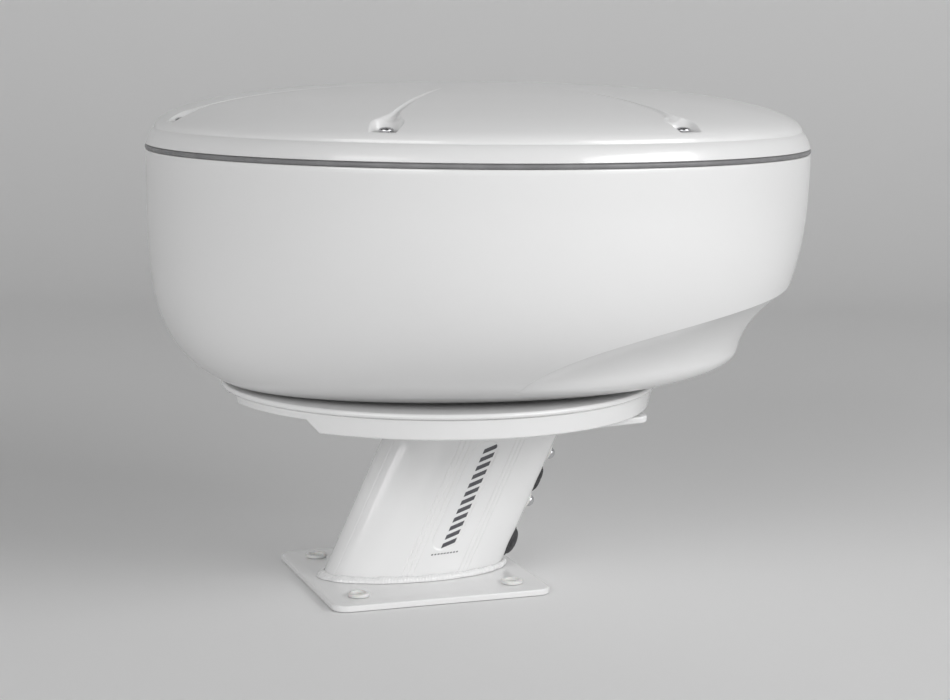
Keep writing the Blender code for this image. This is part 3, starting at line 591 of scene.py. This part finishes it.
def make_cover_posts():
    """A post and two ribs under each pocket."""
    posts = Shape()
    ribs = Shape()
    top = POCKET_FLOOR - 0.0012
    for angle in SCREW_ANGLES:
        place = Matrix.Translation(polar(SCREW_R, angle, 0))
        posts.turned([(SCREW_HOLE_R, COVER_LOW), (0.0068, COVER_LOW), (0.0072, COVER_LOW + 0.0006),
                      (0.0076, top), (SCREW_HOLE_R, top)], 32, True, place)
        turned = Matrix.Rotation(angle, 4, 'Z')
        for side in (-1, 1):
            low = (side * 0.0092 - 0.0009, -0.2505, COVER_LOW + 0.004)
            high = (side * 0.0092 + 0.0009, -0.2330, top)
            ribs.box(low, high, turned)
    piece("cover_posts", posts, "gel_coat", body="cover")
    piece("cover_ribs", ribs, "gel_coat", body="cover")


def hexagon(across, low, high, place=Matrix.Identity(4)):
    corners = [2 * pi * i / 6 for i in range(6)]
    reach = across / sqrt(3)
    return Shape().loft([[place @ Vector((reach * cos(t), reach * sin(t), z)) for t in corners]
                         for z in (low, high)])


def make_cover_screws():
    """Stainless button heads with a hexagon socket."""
    head = POCKET_FLOOR + GAP
    dome = oval_arc((0, head + 0.0009), 0.0052, 0.0024, 0, 60, 6)
    for i in range(1, SCREWS + 1):
        node = f"cover_screw_{i}"
        low, high = heights(node)
        place = upright_at(node)
        profile = [(0, low), (0.0021, low), (0.0025, low + 0.0005), (0.0025, head), (0.0049, head),
                   (0.0052, head + 0.0003)] + dome + [(0, dome[-1][1])]
        screw = piece(f"button_screw_{i}", Shape().turned(profile, 40, place=place), "stainless",
                      [node], "cover")
        turn = place @ Matrix.Rotation(0.7 * i, 4, 'Z')
        cut(screw, hexagon(0.0032, head + 0.0012, high + 0.003, turn))


# ---- platform
PLATFORM_Y = middle_of("mounting_plate").y
PLATE_LOW, PLATE_TOP = heights("mounting_plate")
PLATE_R = radius_of("mounting_plate")
SKIRT_LOW, SKIRT_TOP = heights("platform_skirt")
SKIRT_R_TOP = radius_of("platform_skirt")
SKIRT_R_LOW = 0.1672
SKIRT_T = 0.0036
WEB_LOW = SKIRT_TOP - 0.0040
FLANGE_LOW = SKIRT_TOP - 0.0056
WAY_R = 0.026                # cable way through the platform
WAY_Y = 0.0034
NOTCH_TURN = radians(-6)
NOTCH_LOW = radians(47.5)
NOTCH_TOP = radians(42.6)
SLOT_HALF = radians(12.8)
INNER_RING = 0.120           # ring of points between the cable way and the rim


def sector(half_low, half_high, low, high, radius_in, radius_out):
    """Sector prism around the bow whose sides slope with height."""
    rings = []
    for half, z in ((half_low, low), (half_high, high)):
        turns = spread(NOTCH_TURN - half, NOTCH_TURN + half, 40)
        ring = [polar(radius_out, turn, z, (0, PLATFORM_Y)) for turn in turns]
        ring += [polar(radius_in, turn, z, (0, PLATFORM_Y)) for turn in reversed(turns)]
        rings.append(ring)
    return Shape().loft(rings)


def disc_with_way(profile, count):
    """Turned body about the platform's axis whose middle is the cable way."""
    rings = [circle(WAY_R, profile[0][1], count, (0, WAY_Y))]
    rings += [circle(radius, z, count, (0, PLATFORM_Y)) for radius, z in profile]
    rings.append(circle(WAY_R, profile[-1][1], count, (0, WAY_Y)))
    return Shape().loft(rings, True)


def make_platform():
    edge = (PLATE_TOP - PLATE_LOW) / 2
    bull = arc((PLATE_R - edge, PLATE_LOW + edge), edge, -90, 90, 12)
    profile = [(INNER_RING, PLATE_LOW)] + bull + [(INNER_RING, PLATE_TOP)]
    piece("platform_plate", disc_with_way(profile, 288), "white_paint", ["mounting_plate"])

    foot = arc((SKIRT_R_LOW - 0.0018, SKIRT_LOW + 0.0018), 0.0018, -90, 0, 5)
    fillet = 0.0030
    profile = [(INNER_RING, WEB_LOW)]
    profile += arc((SKIRT_R_TOP - SKIRT_T - fillet, WEB_LOW - fillet), fillet, 90, 0, 4)
    profile += [(SKIRT_R_LOW - SKIRT_T, SKIRT_LOW + 0.0005), (SKIRT_R_LOW - SKIRT_T + 0.0005, SKIRT_LOW)]
    profile += foot + [(SKIRT_R_TOP, SKIRT_TOP - 0.0006), (SKIRT_R_TOP - 0.0006, SKIRT_TOP),
                       (INNER_RING, SKIRT_TOP)]
    skirt = piece("platform_skirt_shell", disc_with_way(profile, 240), "white_paint", ["platform_skirt"])
    cut(skirt, sector(NOTCH_LOW, NOTCH_TOP, SKIRT_LOW - 0.004, FLANGE_LOW, 0.145, 0.185))
    cut(skirt, sector(SLOT_HALF, SLOT_HALF, FLANGE_LOW - 0.002, SKIRT_TOP + 0.002, 0.156, 0.185))
    make_wedge()
    make_platform_bolts()


def top_plate_under(y):
    return TOP_REF_Z + TILT * (y - TOP_REF_Y)


def make_wedge():
    low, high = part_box("levelling_wedge")
    middle = (low.y + high.y) / 2
    reach = (high.x - low.x) / 2
    round_edge = 0.0006
    rings = []
    for radius, lift, upper in ((0.030, 0, False), (reach - round_edge, 0, False),
                                (reach, round_edge, False), (reach, -round_edge, True),
                                (reach - round_edge, 0, True), (0.030, 0, True)):
        ring = circle(radius, 0, 144, (0, middle))
        for point in ring:
            base = WEB_LOW - GAP if upper else top_plate_under(point.y) + TOP_T + GAP
            point.z = base + lift
        rings.append(ring)
    piece("levelling_ring", Shape().loft(rings, True), "nylon", ["levelling_wedge"])


def bolt_profile(shank, head, head_low, head_high, top):
    """Round bolt under a plate: domed head, washer face, shank and chamfered end."""
    dome = head_low + 0.0016
    return [(0, head_low), (head * 0.55, head_low + 0.0002), (head * 0.85, head_low + 0.0008),
            (head, dome), (head, head_high - 0.0008), (head * 1.04, head_high - 0.0008),
            (head * 1.04, head_high), (shank, head_high), (shank, top - 0.0006),
            (shank - 0.0006, top), (0, top)]


def make_platform_bolts():
    for i in FOUR:
        node = f"radome_bolt_{i}"
        low, high = heights(node)
        place = upright_at(node)
        face = WEB_LOW - GAP
        shape = hexagon(0.0104, low, face - 0.0013, place)
        shape.turned([(0, face - 0.0016), (0.0062, face - 0.0016), (0.0065, face - 0.0013),
                      (0.0065, face), (0.0039, face), (0.0039, high - 0.0006),
                      (0.0033, high), (0, high)], 40, place=place)
        soften(piece(f"hex_bolt_{i}", shape, "stainless", [node]), 0.0003)
        node = f"wedge_bolt_{i}"
        low, high = heights(node)
        place = upright_at(node)
        profile = bolt_profile(0.0029, 0.0055, low, low + 0.0030, high)
        bolt = piece(f"socket_bolt_{i}", Shape().turned(profile, 40, place=place), "stainless", [node])
        cut(bolt, hexagon(0.0040, low - 0.002, low + 0.0016, place))
    low, high = heights("front_bolt")
    place = upright_at("front_bolt")
    nut_top = PLATE_LOW - GAP
    nut_turn = 0.35
    shape = hexagon(0.0084, low + 0.0008, nut_top - 0.0010, place @ Matrix.Rotation(nut_turn, 4, 'Z'))
    shape.turned([(0, low), (0.0022, low), (0.0027, low + 0.0005), (0.0027, nut_top - 0.0010),
                  (0.0050, nut_top - 0.0010), (0.0050, nut_top), (0.0027, nut_top), (0.0027, high),
                  (0, high)], 40, place=place)
    soften(piece("front_nut", shape, "stainless", ["front_bolt"]), 0.0003)


# ---- tower
def tower_centre(z):
    return TOWER_Y + LEAN * (z - FOOT_T)


def tower_point(angle, z, offset=0.0):
    """Point on the leaning oval, at an angle counted from port to stern."""
    return Vector(((TOWER_B + offset) * cos(angle),
                   tower_centre(z) + (TOWER_A + offset) * sin(angle), z))


def tower_top(angle, offset=0.0):
    """Height where the wall meets the plane just under the tilted top plate."""
    reach = (TOWER_A + offset) * sin(angle)
    start = TOP_REF_Z - GAP + TILT * (TOWER_Y - LEAN * FOOT_T + reach - TOP_REF_Y)
    return start / (1 - TILT * LEAN)


def carved(angle, z):
    """How far the tower's surface lies under the plain oval: grooves and graphic recess."""
    speed = hypot(TOWER_B * sin(angle), TOWER_A * cos(angle))
    depth = 0.0
    for groove in GROOVES:
        away = abs(angle - radians(groove)) * speed
        depth += GROOVE_DEPTH * max(1 - (away / FINE_GROOVE) ** 2, 0)
    beyond = max(z - STRIP_HIGH, STRIP_LOW - z, 0) * SLANT
    outside = hypot((angle - STRIP_MIDDLE) * TOWER_A, beyond) - STRIP_HALF
    share = min(max(-outside / STRIP_BANK, 0), 1)
    return depth + STRIP_DEPTH * smooth(share)


def tower_turns():
    """Angles round the oval, closer together near the grooves and the recess."""
    fine = [radians(-19 + 0.26 * i) for i in range(186)]
    lone = [radians(GROOVES[0] + 0.3 * k) for k in range(-4, 5)]
    rest = [radians(31.5 + 2.5 * i) for i in range(104)]
    rest += [radians(-66 + 3 * i) for i in range(15)]
    return sorted(remainder(turn, 2 * pi) for turn in fine + lone + rest)


def make_tower():
    turns = tower_turns()
    low = FOOT_T + GAP
    fine = 0.0006
    recess_from = STRIP_LOW - STRIP_HALF / SLANT - 0.001
    recess_to = STRIP_HIGH - 0.002
    levels = [low, blend(low, recess_from, 0.5)] + [recess_from + fine * i for i in range(22)]
    levels += spread(levels[-1], recess_to, 18)[1:]
    lowest_top = min(tower_top(angle) for angle in turns)
    while levels[-1] < max(recess_to + 3.5 * fine, lowest_top - 2 * fine):
        levels.append(levels[-1] + fine)
    rings = [[tower_point(angle, low, -TOWER_T) for angle in turns]]
    for z in levels:
        rings.append([tower_point(angle, z, -carved(angle, z)) for angle in turns])
    rings.append([tower_point(angle, tower_top(angle), -carved(angle, tower_top(angle)))
                  for angle in turns])
    rings.append([tower_point(angle, tower_top(angle, -TOWER_T), -TOWER_T) for angle in turns])
    piece("tower_shell", Shape().loft(rings, True), "white_paint", ["tower_tube"], sharp=60)
    make_graphic()
    make_weld()
    make_foot()
    make_top_plate()
    make_rear_fittings()


def slab(low, high, left, right, slant, lift, thickness):
    """Thin plate on the tower: heights low to high, left to right along the oval."""
    corners = ((low, 0), (high, 0), (high, thickness), (low, thickness))
    rings = []
    for share in share_steps(6):
        angle = STRIP_MIDDLE + blend(left, right, share) / TOWER_A
        shift = slant * share
        rings.append([tower_point(angle, z + shift, out - lift) for z, out in corners])
    return rings


def make_graphic():
    """Plain slanted bars up the recess, and a row of small ticks under them."""
    bars = Shape()
    count = 12
    first, last = 0.0300, 0.1110
    pitch = (last - first) / count
    for i in range(count):
        low = first + pitch * i
        bars.loft(slab(low, low + 0.56 * pitch, -0.0008, 0.0094, 0.0040, STRIP_DEPTH + 0.0001, 0.00022))
    ticks = 9
    for i in range(ticks):
        left = -0.0070 + 0.0026 * i
        low = 0.0250 + 0.0001 * i
        bars.loft(slab(low, low + 0.0011, left, left + 0.0014, 0.0001, 0.0001, 0.00016))
    piece("graphic_bars", bars, "dark_strip", ["name_strip"])


def oval_turns(count):
    """Angles that divide the oval's outline evenly."""
    samples = 2880
    lengths = [0.0]
    for i in range(samples):
        turn = 2 * pi * (i + 0.5) / samples
        lengths.append(lengths[-1] + hypot(TOWER_B * sin(turn), TOWER_A * cos(turn)))
    turns = []
    at = 0
    for k in range(count):
        target = lengths[-1] * k / count
        while lengths[at + 1] < target:
            at += 1
        part = (target - lengths[at]) / (lengths[at + 1] - lengths[at])
        turns.append(2 * pi * (at + part) / samples)
    return turns


def make_weld():
    """Weld bead with overlapping crescent ripples."""
    ripples = 150
    per_ripple = 8
    turns = oval_turns(ripples * per_ripple)
    size = 0.0042
    low = FOOT_T + GAP
    rings = []
    for level in share_steps(8):
        lean_in = radians(90 * level)
        ring = []
        for k, angle in enumerate(turns):
            wander = 0.00025 * sin(11 * angle) + 0.0002 * sin(23 * angle + 1)
            phase = (k / per_ripple + 0.42 * sin(pi * level)) % 1
            crest = 0.00042 * sin(pi * phase) ** 0.6 * sin(pi * level)
            reach = size + wander + crest
            point = tower_point(angle, low, GAP + reach * cos(lean_in))
            point.z = low + reach * sin(lean_in)
            point.y += LEAN * (point.z - low)
            ring.append(point)
        rings.append(ring)
    rings.append([tower_point(angle, low, GAP) for angle in turns])
    piece("weld_ripples", Shape().loft(rings, True), "painted_weld", ["weld_bead"], sharp=80)


def moved_in(points, distance):
    """Outline moved inwards; its points run anticlockwise."""
    result = []
    for i, (x, y) in enumerate(points):
        before = points[i - 1]
        after = points[(i + 1) % len(points)]
        along = Vector((after[0] - before[0], after[1] - before[1])).normalized()
        result.append((x - along.y * distance, y + along.x * distance))
    return result


def rounded_slab(points, height_at, thickness, edge):
    """Plate with rounded edges; height_at gives the height of its underside."""
    rings = []
    lower = arc((edge, edge), edge, 270, 180, 5)
    upper = [(inset, thickness - lift) for inset, lift in reversed(lower)]
    for inset, lift in lower + upper:
        rings.append([Vector((x, y, height_at(y) + lift)) for x, y in moved_in(points, inset)])
    return Shape().loft(rings)


def make_foot():
    low, high = heights("base_plate")
    half = radius_of("base_plate")
    corner = 0.012
    points = []
    for quarter in range(4):
        middle = radians(45 + 90 * quarter)
        x = copysign(half - corner, cos(middle))
        y = TOWER_Y + copysign(half - corner, sin(middle))
        points += arc((x, y), corner, 90 * quarter, 90 * quarter + 90, 12)
    foot = piece("foot_plate", rounded_slab(points, lambda y: low, high - low, 0.0011),
                 "white_paint", ["base_plate"])
    holes = Shape().turned([(CABLE_R, -0.01), (CABLE_R, 0.02)], 64,
                           place=Matrix.Translation((0, TOWER_Y, 0)))
    base = FOOT_T + GAP
    profile = [(0.0042, 0.0004), (0.0060, 0.0004), (0.0060, base), (0.0083, base), (0.0085, base + 0.0002)]
    profile += arc((0.0077, base + 0.0018), 0.0008, 0, 90, 3)
    profile += [(0.0060, base + 0.0026), (0.0055, base + 0.0022), (0.0050, base + 0.0012),
                (0.0042, base + 0.0009)]
    for i in FOUR:
        node = f"deck_bush_{i}"
        place = upright_at(node)
        holes.turned([(0.0063, -0.01), (0.0063, 0.02)], 40, place=place)
        piece(f"bolt_bush_{i}", Shape().turned(profile, 56, True, place), "nylon", [node])
    cut(foot, holes)


def make_top_plate():
    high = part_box("tower_top_plate")[1]
    corner = 0.008
    nose_r = 0.052
    points = arc((0, -0.030), nose_r, -84, 0, 14)
    points.append((high.x, 0.025))
    points += arc((high.x - corner, high.y - corner), corner, 0, 90, 9)
    points += [(-x, y) for x, y in reversed(points)]
    plate = piece("tilted_plate", rounded_slab(points, top_plate_under, TOP_T, 0.0012), "white_paint",
                  ["tower_top_plate"])
    way = Matrix.Translation((0, tower_centre(TOP_REF_Z), 0))
    cut(plate, Shape().turned([(CABLE_R, 0.10), (CABLE_R, 0.16)], 64, place=way))


def on_rear(across, along, out, z):
    """Point near the tower's stern edge: offsets across it, up along it and out from it."""
    height = z + along / SLANT
    y = tower_centre(height) + TOWER_A * sqrt(max(1 - (across / TOWER_B) ** 2, 0))
    return Vector((across, y + out / SLANT, height - out * LEAN / SLANT))


def rear_fitting(profile, z, segments=48, ribs=0, rib=0.0):
    """Round fitting that follows the tower's curved stern; profile is (radius, outward)."""
    rings = []
    for radius, out in profile:
        if radius <= 0:
            rings.append([on_rear(0, 0, out, z)])
            continue
        ring = []
        for i in range(segments):
            turn = 2 * pi * i / segments
            lift = rib * cos(ribs * turn) if ribs and out > 0.0012 else 0.0
            ring.append(on_rear(radius * sin(turn), radius * cos(turn), out + lift, z))
        rings.append(ring)
    return Shape().loft(rings)


def make_rear_fittings():
    seals = (("upper_cable_seal", 0.0116, 0.0034, 36, 0.00035), ("lower_cable_seal", 0.0134, 0.0066, 0, 0.0))
    for node, radius, height, ribs, rib in seals:
        z = middle_of(node).z
        crown = oval_arc((0, 0.0011), radius * 0.86, height - 0.0011, 0, 80, 8)
        profile = [(0, -0.004), (radius * 0.72, -0.004), (radius * 0.72, 0.0001), (radius * 0.98, 0.0001),
                   (radius, 0.0005), (radius * 0.97, 0.0011), (radius * 0.88, 0.0011)] + crown
        profile.append((0, height))
        piece(f"rubber_{node}", rear_fitting(profile, z, 144, ribs, rib), "black_rubber", [node], sharp=30)
    washer = [(0, 0.0001), (0.0064, 0.0001), (0.0067, 0.0005), (0.0064, 0.0015), (0.0056, 0.0018),
              (0, 0.0018)]
    head = oval_arc((0, 0.0022), 0.0050, 0.0046, 0, 80, 8)
    screw = [(0, 0.0014), (0.0047, 0.0014)] + head + [(0, 0.0068)]
    for i in (1, 2):
        z = middle_of(f"seal_screw_{i}").z
        piece(f"screw_washer_{i}", rear_fitting(washer, z), "nylon", [f"seal_washer_{i}"])
        piece(f"dome_screw_{i}", rear_fitting(screw, z), "stainless", [f"seal_screw_{i}"])


# ---- cable gland
def make_gland():
    low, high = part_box("cable_gland")
    z = middle_of("cable_gland").z
    y = shell_radius(pi, z)
    place = facing((0, y, z), (0, 1, 0))
    start = low.y - y
    end = high.y - y
    body = [(0.0045, start), (0.0079, start), (0.0079, 0.0060), (0.0117, 0.0060), (0.0120, 0.0064),
            (0.0120, 0.0086), (0.0106, 0.0088), (0.0106, 0.0122), (0.0098, 0.0130)]
    nut = [(0.0098, 0.0130), (0.0094, 0.0160), (0.0084, end - 0.0008), (0.0074, end), (0.0052, end),
           (0.0045, end - 0.0010)]
    gland = Shape().turned(body + nut[1:], 60, True, place)
    piece("gland_body", gland, "black_plastic", ["cable_gland"])
    ribs = Shape()
    grips = 18
    for i in range(grips):
        turn = place @ Matrix.Rotation(2 * pi * i / grips, 4, 'Z')
        ribs.box((0.0100, -0.0005, 0.0089), (0.0112, 0.0005, 0.0121), turn)
    piece("gland_grip", ribs, "black_plastic")
    bung = [(0, end - 0.0030), (0.0044, end - 0.0030), (0.0044, end - 0.0008), (0.0030, end - 0.0003),
            (0, end - 0.0003)]
    piece("gland_bung", Shape().turned(bung, 40, place=place), "black_rubber")
    ring = [(0.0082, start + 0.0007), (0.0120, start + 0.0007), (0.0120, start + 0.0050),
            (0.0082, start + 0.0050)]
    piece("gland_lock_ring", Shape().turned(ring, 48, True, place), "black_plastic", ["gland_nut"])


# ---- scanner inside
KEPT = {
    "cast_aluminium": ("motor_mount", "array_bracket", "array_housing", "heat_sink"),
    "stainless": ("antenna_spindle", "upper_bearing", "lower_bearing", "motor_shaft", "transceiver_can"),
    "gear_nylon": ("driven_gear",),
    "brass": ("motor_pinion",),
    "circuit_green": ("main_board", "power_board", "patch_board"),
    "black_plastic": ("power_connector",),
}
KEPT_ROUNDING = 0.0003


def dress_kept_nodes():
    """CAD nodes whose shape is right get a fine finish and softened edges."""
    for finish, nodes in KEPT.items():
        for node in nodes:
            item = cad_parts[node]
            item.data.materials.clear()
            item.data.materials.append(FINISHES[finish])
            soften(item, KEPT_ROUNDING, 2)


def make_chassis():
    floor, top = heights("scanner_chassis")
    reach = radius_of("scanner_chassis")
    profile = [(0.022, floor), (reach - 0.0008, floor), (reach, floor + 0.0008), (reach, floor + 0.0032),
               (reach - 0.0008, floor + 0.004), (0.034, floor + 0.004), (0.0290, floor + 0.0062),
               (0.0262, floor + 0.0120), (0.0250, 0.200), (0.0240, 0.245), (0.0240, top - 0.0006),
               (0.0234, top), (0.0193, top), (0.0193, 0.240), (0.0150, 0.238), (0.0150, 0.200),
               (0.0193, 0.198), (0.0193, 0.184)]
    piece("chassis_casting", Shape().turned(profile, 120, True), "cast_aluminium", ["scanner_chassis"])
    ribs = Shape()
    side = [(0.0245, floor + 0.0035), (0.0800, floor + 0.0035), (0.0800, floor + 0.0046),
            (0.0300, floor + 0.0150), (0.0245, floor + 0.0260)]
    for degrees in (70, 110, 160, 200, 250, 290):       # none towards port, where the motor stands
        turned = Matrix.Rotation(radians(degrees), 4, 'Z')
        ribs.loft([[turned @ Vector((x, y, z)) for x, z in side] for y in (-0.0011, 0.0011)])
    piece("chassis_ribs", ribs, "cast_aluminium")
    seat = floor + 0.0043
    for i in FOUR:
        node = f"chassis_screw_{i}"
        low, high = heights(node)
        place = upright_at(node)
        profile = [(0, low), (0.0019, low), (0.0019, seat), (0.0043, seat), (0.0045, seat + 0.0003),
                   (0.0045, high - 0.0014), (0.0036, high - 0.0004), (0, high)]
        screw = piece(f"chassis_bolt_{i}", Shape().turned(profile, 32, place=place), "stainless", [node])
        cut(screw, hexagon(0.0026, high - 0.0018, high + 0.002, place))


def make_motor():
    low, high = heights("drive_motor")
    body = [(0, low), (0.0190, low), (0.0210, low + 0.0012)]
    for i in range(6):
        z = low + 0.010 + 0.0042 * i
        body += [(0.0210, z), (0.0203, z + 0.0005), (0.0203, z + 0.0014), (0.0210, z + 0.0019)]
    shoulder = high - 0.003
    body += [(0.0210, shoulder - 0.0014), (0.0196, shoulder), (0.0110, shoulder),
             (0.0110, high - 0.0005), (0.0105, high), (0.0032, high), (0.0032, 0.236), (0, 0.236)]
    can = Shape().turned(body, 72, place=upright_at("drive_motor"))
    piece("motor_can", can, "black_plastic", ["drive_motor"])


def put_chips(name, rows, finish):
    """Flat packages: (x, y, z, length, width, height)."""
    shape = Shape()
    for x, y, z, length, width, height in rows:
        shape.box((x - length / 2, y - width / 2, z), (x + length / 2, y + width / 2, z + height))
    soften(piece(name, shape, finish), 0.0003, 2)


def make_board_parts():
    """Chips, capacitors, coils and plugs on the two boards."""
    top = heights("main_board")[1] + 0.0001
    put_chips("main_chips", [(0.028, -0.148, top, 0.014, 0.014, 0.0014),
                             (0.048, -0.150, top, 0.008, 0.010, 0.0012),
                             (0.030, -0.126, top, 0.010, 0.006, 0.0016),
                             (0.046, -0.128, top, 0.006, 0.009, 0.0016),
                             (-0.054, -0.120, top, 0.005, 0.009, 0.0016)], "black_plastic")
    small = [(0.018 + 0.0036 * i, y, top, 0.0020, 0.0011, 0.0008)
             for y in (-0.114, -0.118) for i in range(10)]
    small += [(0.0145, -0.156 + 0.0034 * i, top, 0.0011, 0.0020, 0.0008) for i in range(9)]
    put_chips("main_chip_parts", small, "tinned_copper")
    put_chips("main_plug", [(-0.0535, -0.148, top, 0.007, 0.018, 0.0070)], "nylon")
    power_top = heights("power_board")[1] + 0.0001
    cans = Shape()
    for x, y in ((-0.040, 0.116), (-0.040, 0.128), (0.041, 0.152), (0.030, 0.154)):
        cans.turned([(0, power_top), (0.0040, power_top), (0.0042, power_top + 0.0004),
                     (0.0042, power_top + 0.0014), (0.0039, power_top + 0.0018),
                     (0.0042, power_top + 0.0022), (0.0042, power_top + 0.0126),
                     (0.0036, power_top + 0.0132), (0, power_top + 0.0130)], 32,
                    place=Matrix.Translation((x, y, 0)))
    piece("power_capacitors", cans, "black_plastic")
    coil = Shape()
    windings = 18
    centre = Matrix.Translation((-0.038, 0.146, power_top + 0.0042))
    upended = Matrix.Translation((0.0052, 0, 0)) @ Matrix.Rotation(pi / 2, 4, 'X')
    for k in range(windings):
        turned = Matrix.Rotation(2 * pi * k / windings, 4, 'Z')
        coil.turned([(0.0026, -0.0006), (0.0033, -0.0004), (0.0033, 0.0004), (0.0026, 0.0006)], 16, True,
                    centre @ turned @ upended)
    piece("power_coil", coil, "tinned_copper")


def make_array_parts():
    """Rows of patch radiators on the antenna's board, and the line that feeds them."""
    low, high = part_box("patch_board")
    front, back = low.y - 0.00025, low.y - 0.00005
    margin = 0.006
    line = 0.0004
    reach = 0.0042
    patches = Shape()
    columns = 26
    pitch = (high.x - low.x - 2 * margin) / columns
    for i in range(columns):
        x = low.x + margin + pitch * (i + 0.5)
        for z in (blend(low.z, high.z, 0.30), blend(low.z, high.z, 0.70)):
            patches.box((x - reach, front, z - reach), (x + reach, back, z + reach))
            patches.box((x - line, front, z - 0.0085), (x + line, back, z - 0.0043))
    middle = (low.z + high.z) / 2
    patches.box((low.x + margin, front, middle - line), (high.x - margin, back, middle + line))
    piece("patch_radiators", patches, "tinned_copper", body="scanner")


# ---- studio
def add_light(name, place, target, size, power):
    lamp = bpy.data.lights.new(name, 'AREA')
    lamp.shape = 'RECTANGLE'
    lamp.size, lamp.size_y = size
    lamp.energy = power
    item = add_object(name, lamp)
    item.location = place
    item.rotation_euler = (Vector(target) - Vector(place)).to_track_quat('-Z', 'Y').to_euler()


def make_world():
    """Pale studio: brightest at the horizon on the port side, darker overhead and to starboard."""
    world = bpy.data.worlds.new("studio")
    world.use_nodes = True
    tree = world.node_tree
    place = tree.nodes.new("ShaderNodeTexCoord")
    split = feed(tree, tree.nodes.new("ShaderNodeSeparateXYZ"), Vector=place.outputs["Generated"])
    ramp = feed(tree, tree.nodes.new("ShaderNodeValToRGB"), Fac=split.outputs["Z"])
    side = feed(tree, tree.nodes.new("ShaderNodeMapRange"), Value=split.outputs["X"],
                From_Min=-1, From_Max=1, To_Min=0.42, To_Max=1.34)
    stops = ramp.color_ramp.elements
    stops[0].position, stops[0].color = 0.0, (1, 1, 1, 1)
    stops[1].position, stops[1].color = 0.55, (0.10, 0.10, 0.10, 1)
    feed(tree, tree.nodes["Background"], Color=ramp.outputs["Color"], Strength=side.outputs["Result"])
    bpy.context.scene.world = world


def make_studio():
    """Pale floor that sweeps up into a backdrop on the far side from the camera."""
    away = Vector((-0.942, 0.334, 0))
    aside = Vector((0.334, 0.942, 0))
    behind = 1.6
    corner = 1.2
    under = 0.0005
    profile = [(-14, 0)] + arc((behind, corner), corner, -90, 0, 24) + [(behind + corner, 6)]
    floor = Shape()
    for distance, height in profile:
        floor.points += [away * distance + aside * reach + Vector((0, 0, height - under))
                         for reach in (-12, 12)]
    floor.faces = [(2 * i, 2 * i + 1, 2 * i + 3, 2 * i + 2) for i in range(len(profile) - 1)]
    item = add_object("studio_floor", mesh_of("studio_floor", floor))
    item.data.materials.append(FINISHES["studio_floor"])
    middle = (0, 0, 0.22)
    add_light("soft_key", (1.9, 1.5, 1.35), middle, (1.8, 1.0), 34)
    add_light("soft_front", (1.7, -2.0, 1.35), middle, (1.8, 1.0), 21)
    make_world()


def make_camera():
    """Port side, a little from the bow, about nine degrees above the horizon."""
    camera = add_object("camera", bpy.data.cameras.new("camera"))
    camera.data.sensor_width = 36
    camera.data.lens = 77.67
    place = Vector((1.5359, -0.5458, 0.4344))
    aim = Vector((0, -0.001068, 0.182416))
    roll = radians(0.47371)
    turn = (aim - place).to_track_quat('-Z', 'Y').to_matrix() @ Matrix.Rotation(roll, 3, 'Z')
    camera.matrix_world = Matrix.Translation(place) @ turn.to_4x4()
    bpy.context.scene.camera = camera


def make_radar():
    make_shell()
    make_gasket()
    make_cover()
    make_cover_screws()
    make_platform()
    make_tower()
    make_gland()
    dress_kept_nodes()
    make_chassis()
    make_motor()
    make_board_parts()
    make_array_parts()


bpy.context.scene.view_settings.view_transform = 'Standard'
make_camera()
make_studio()
make_radar()
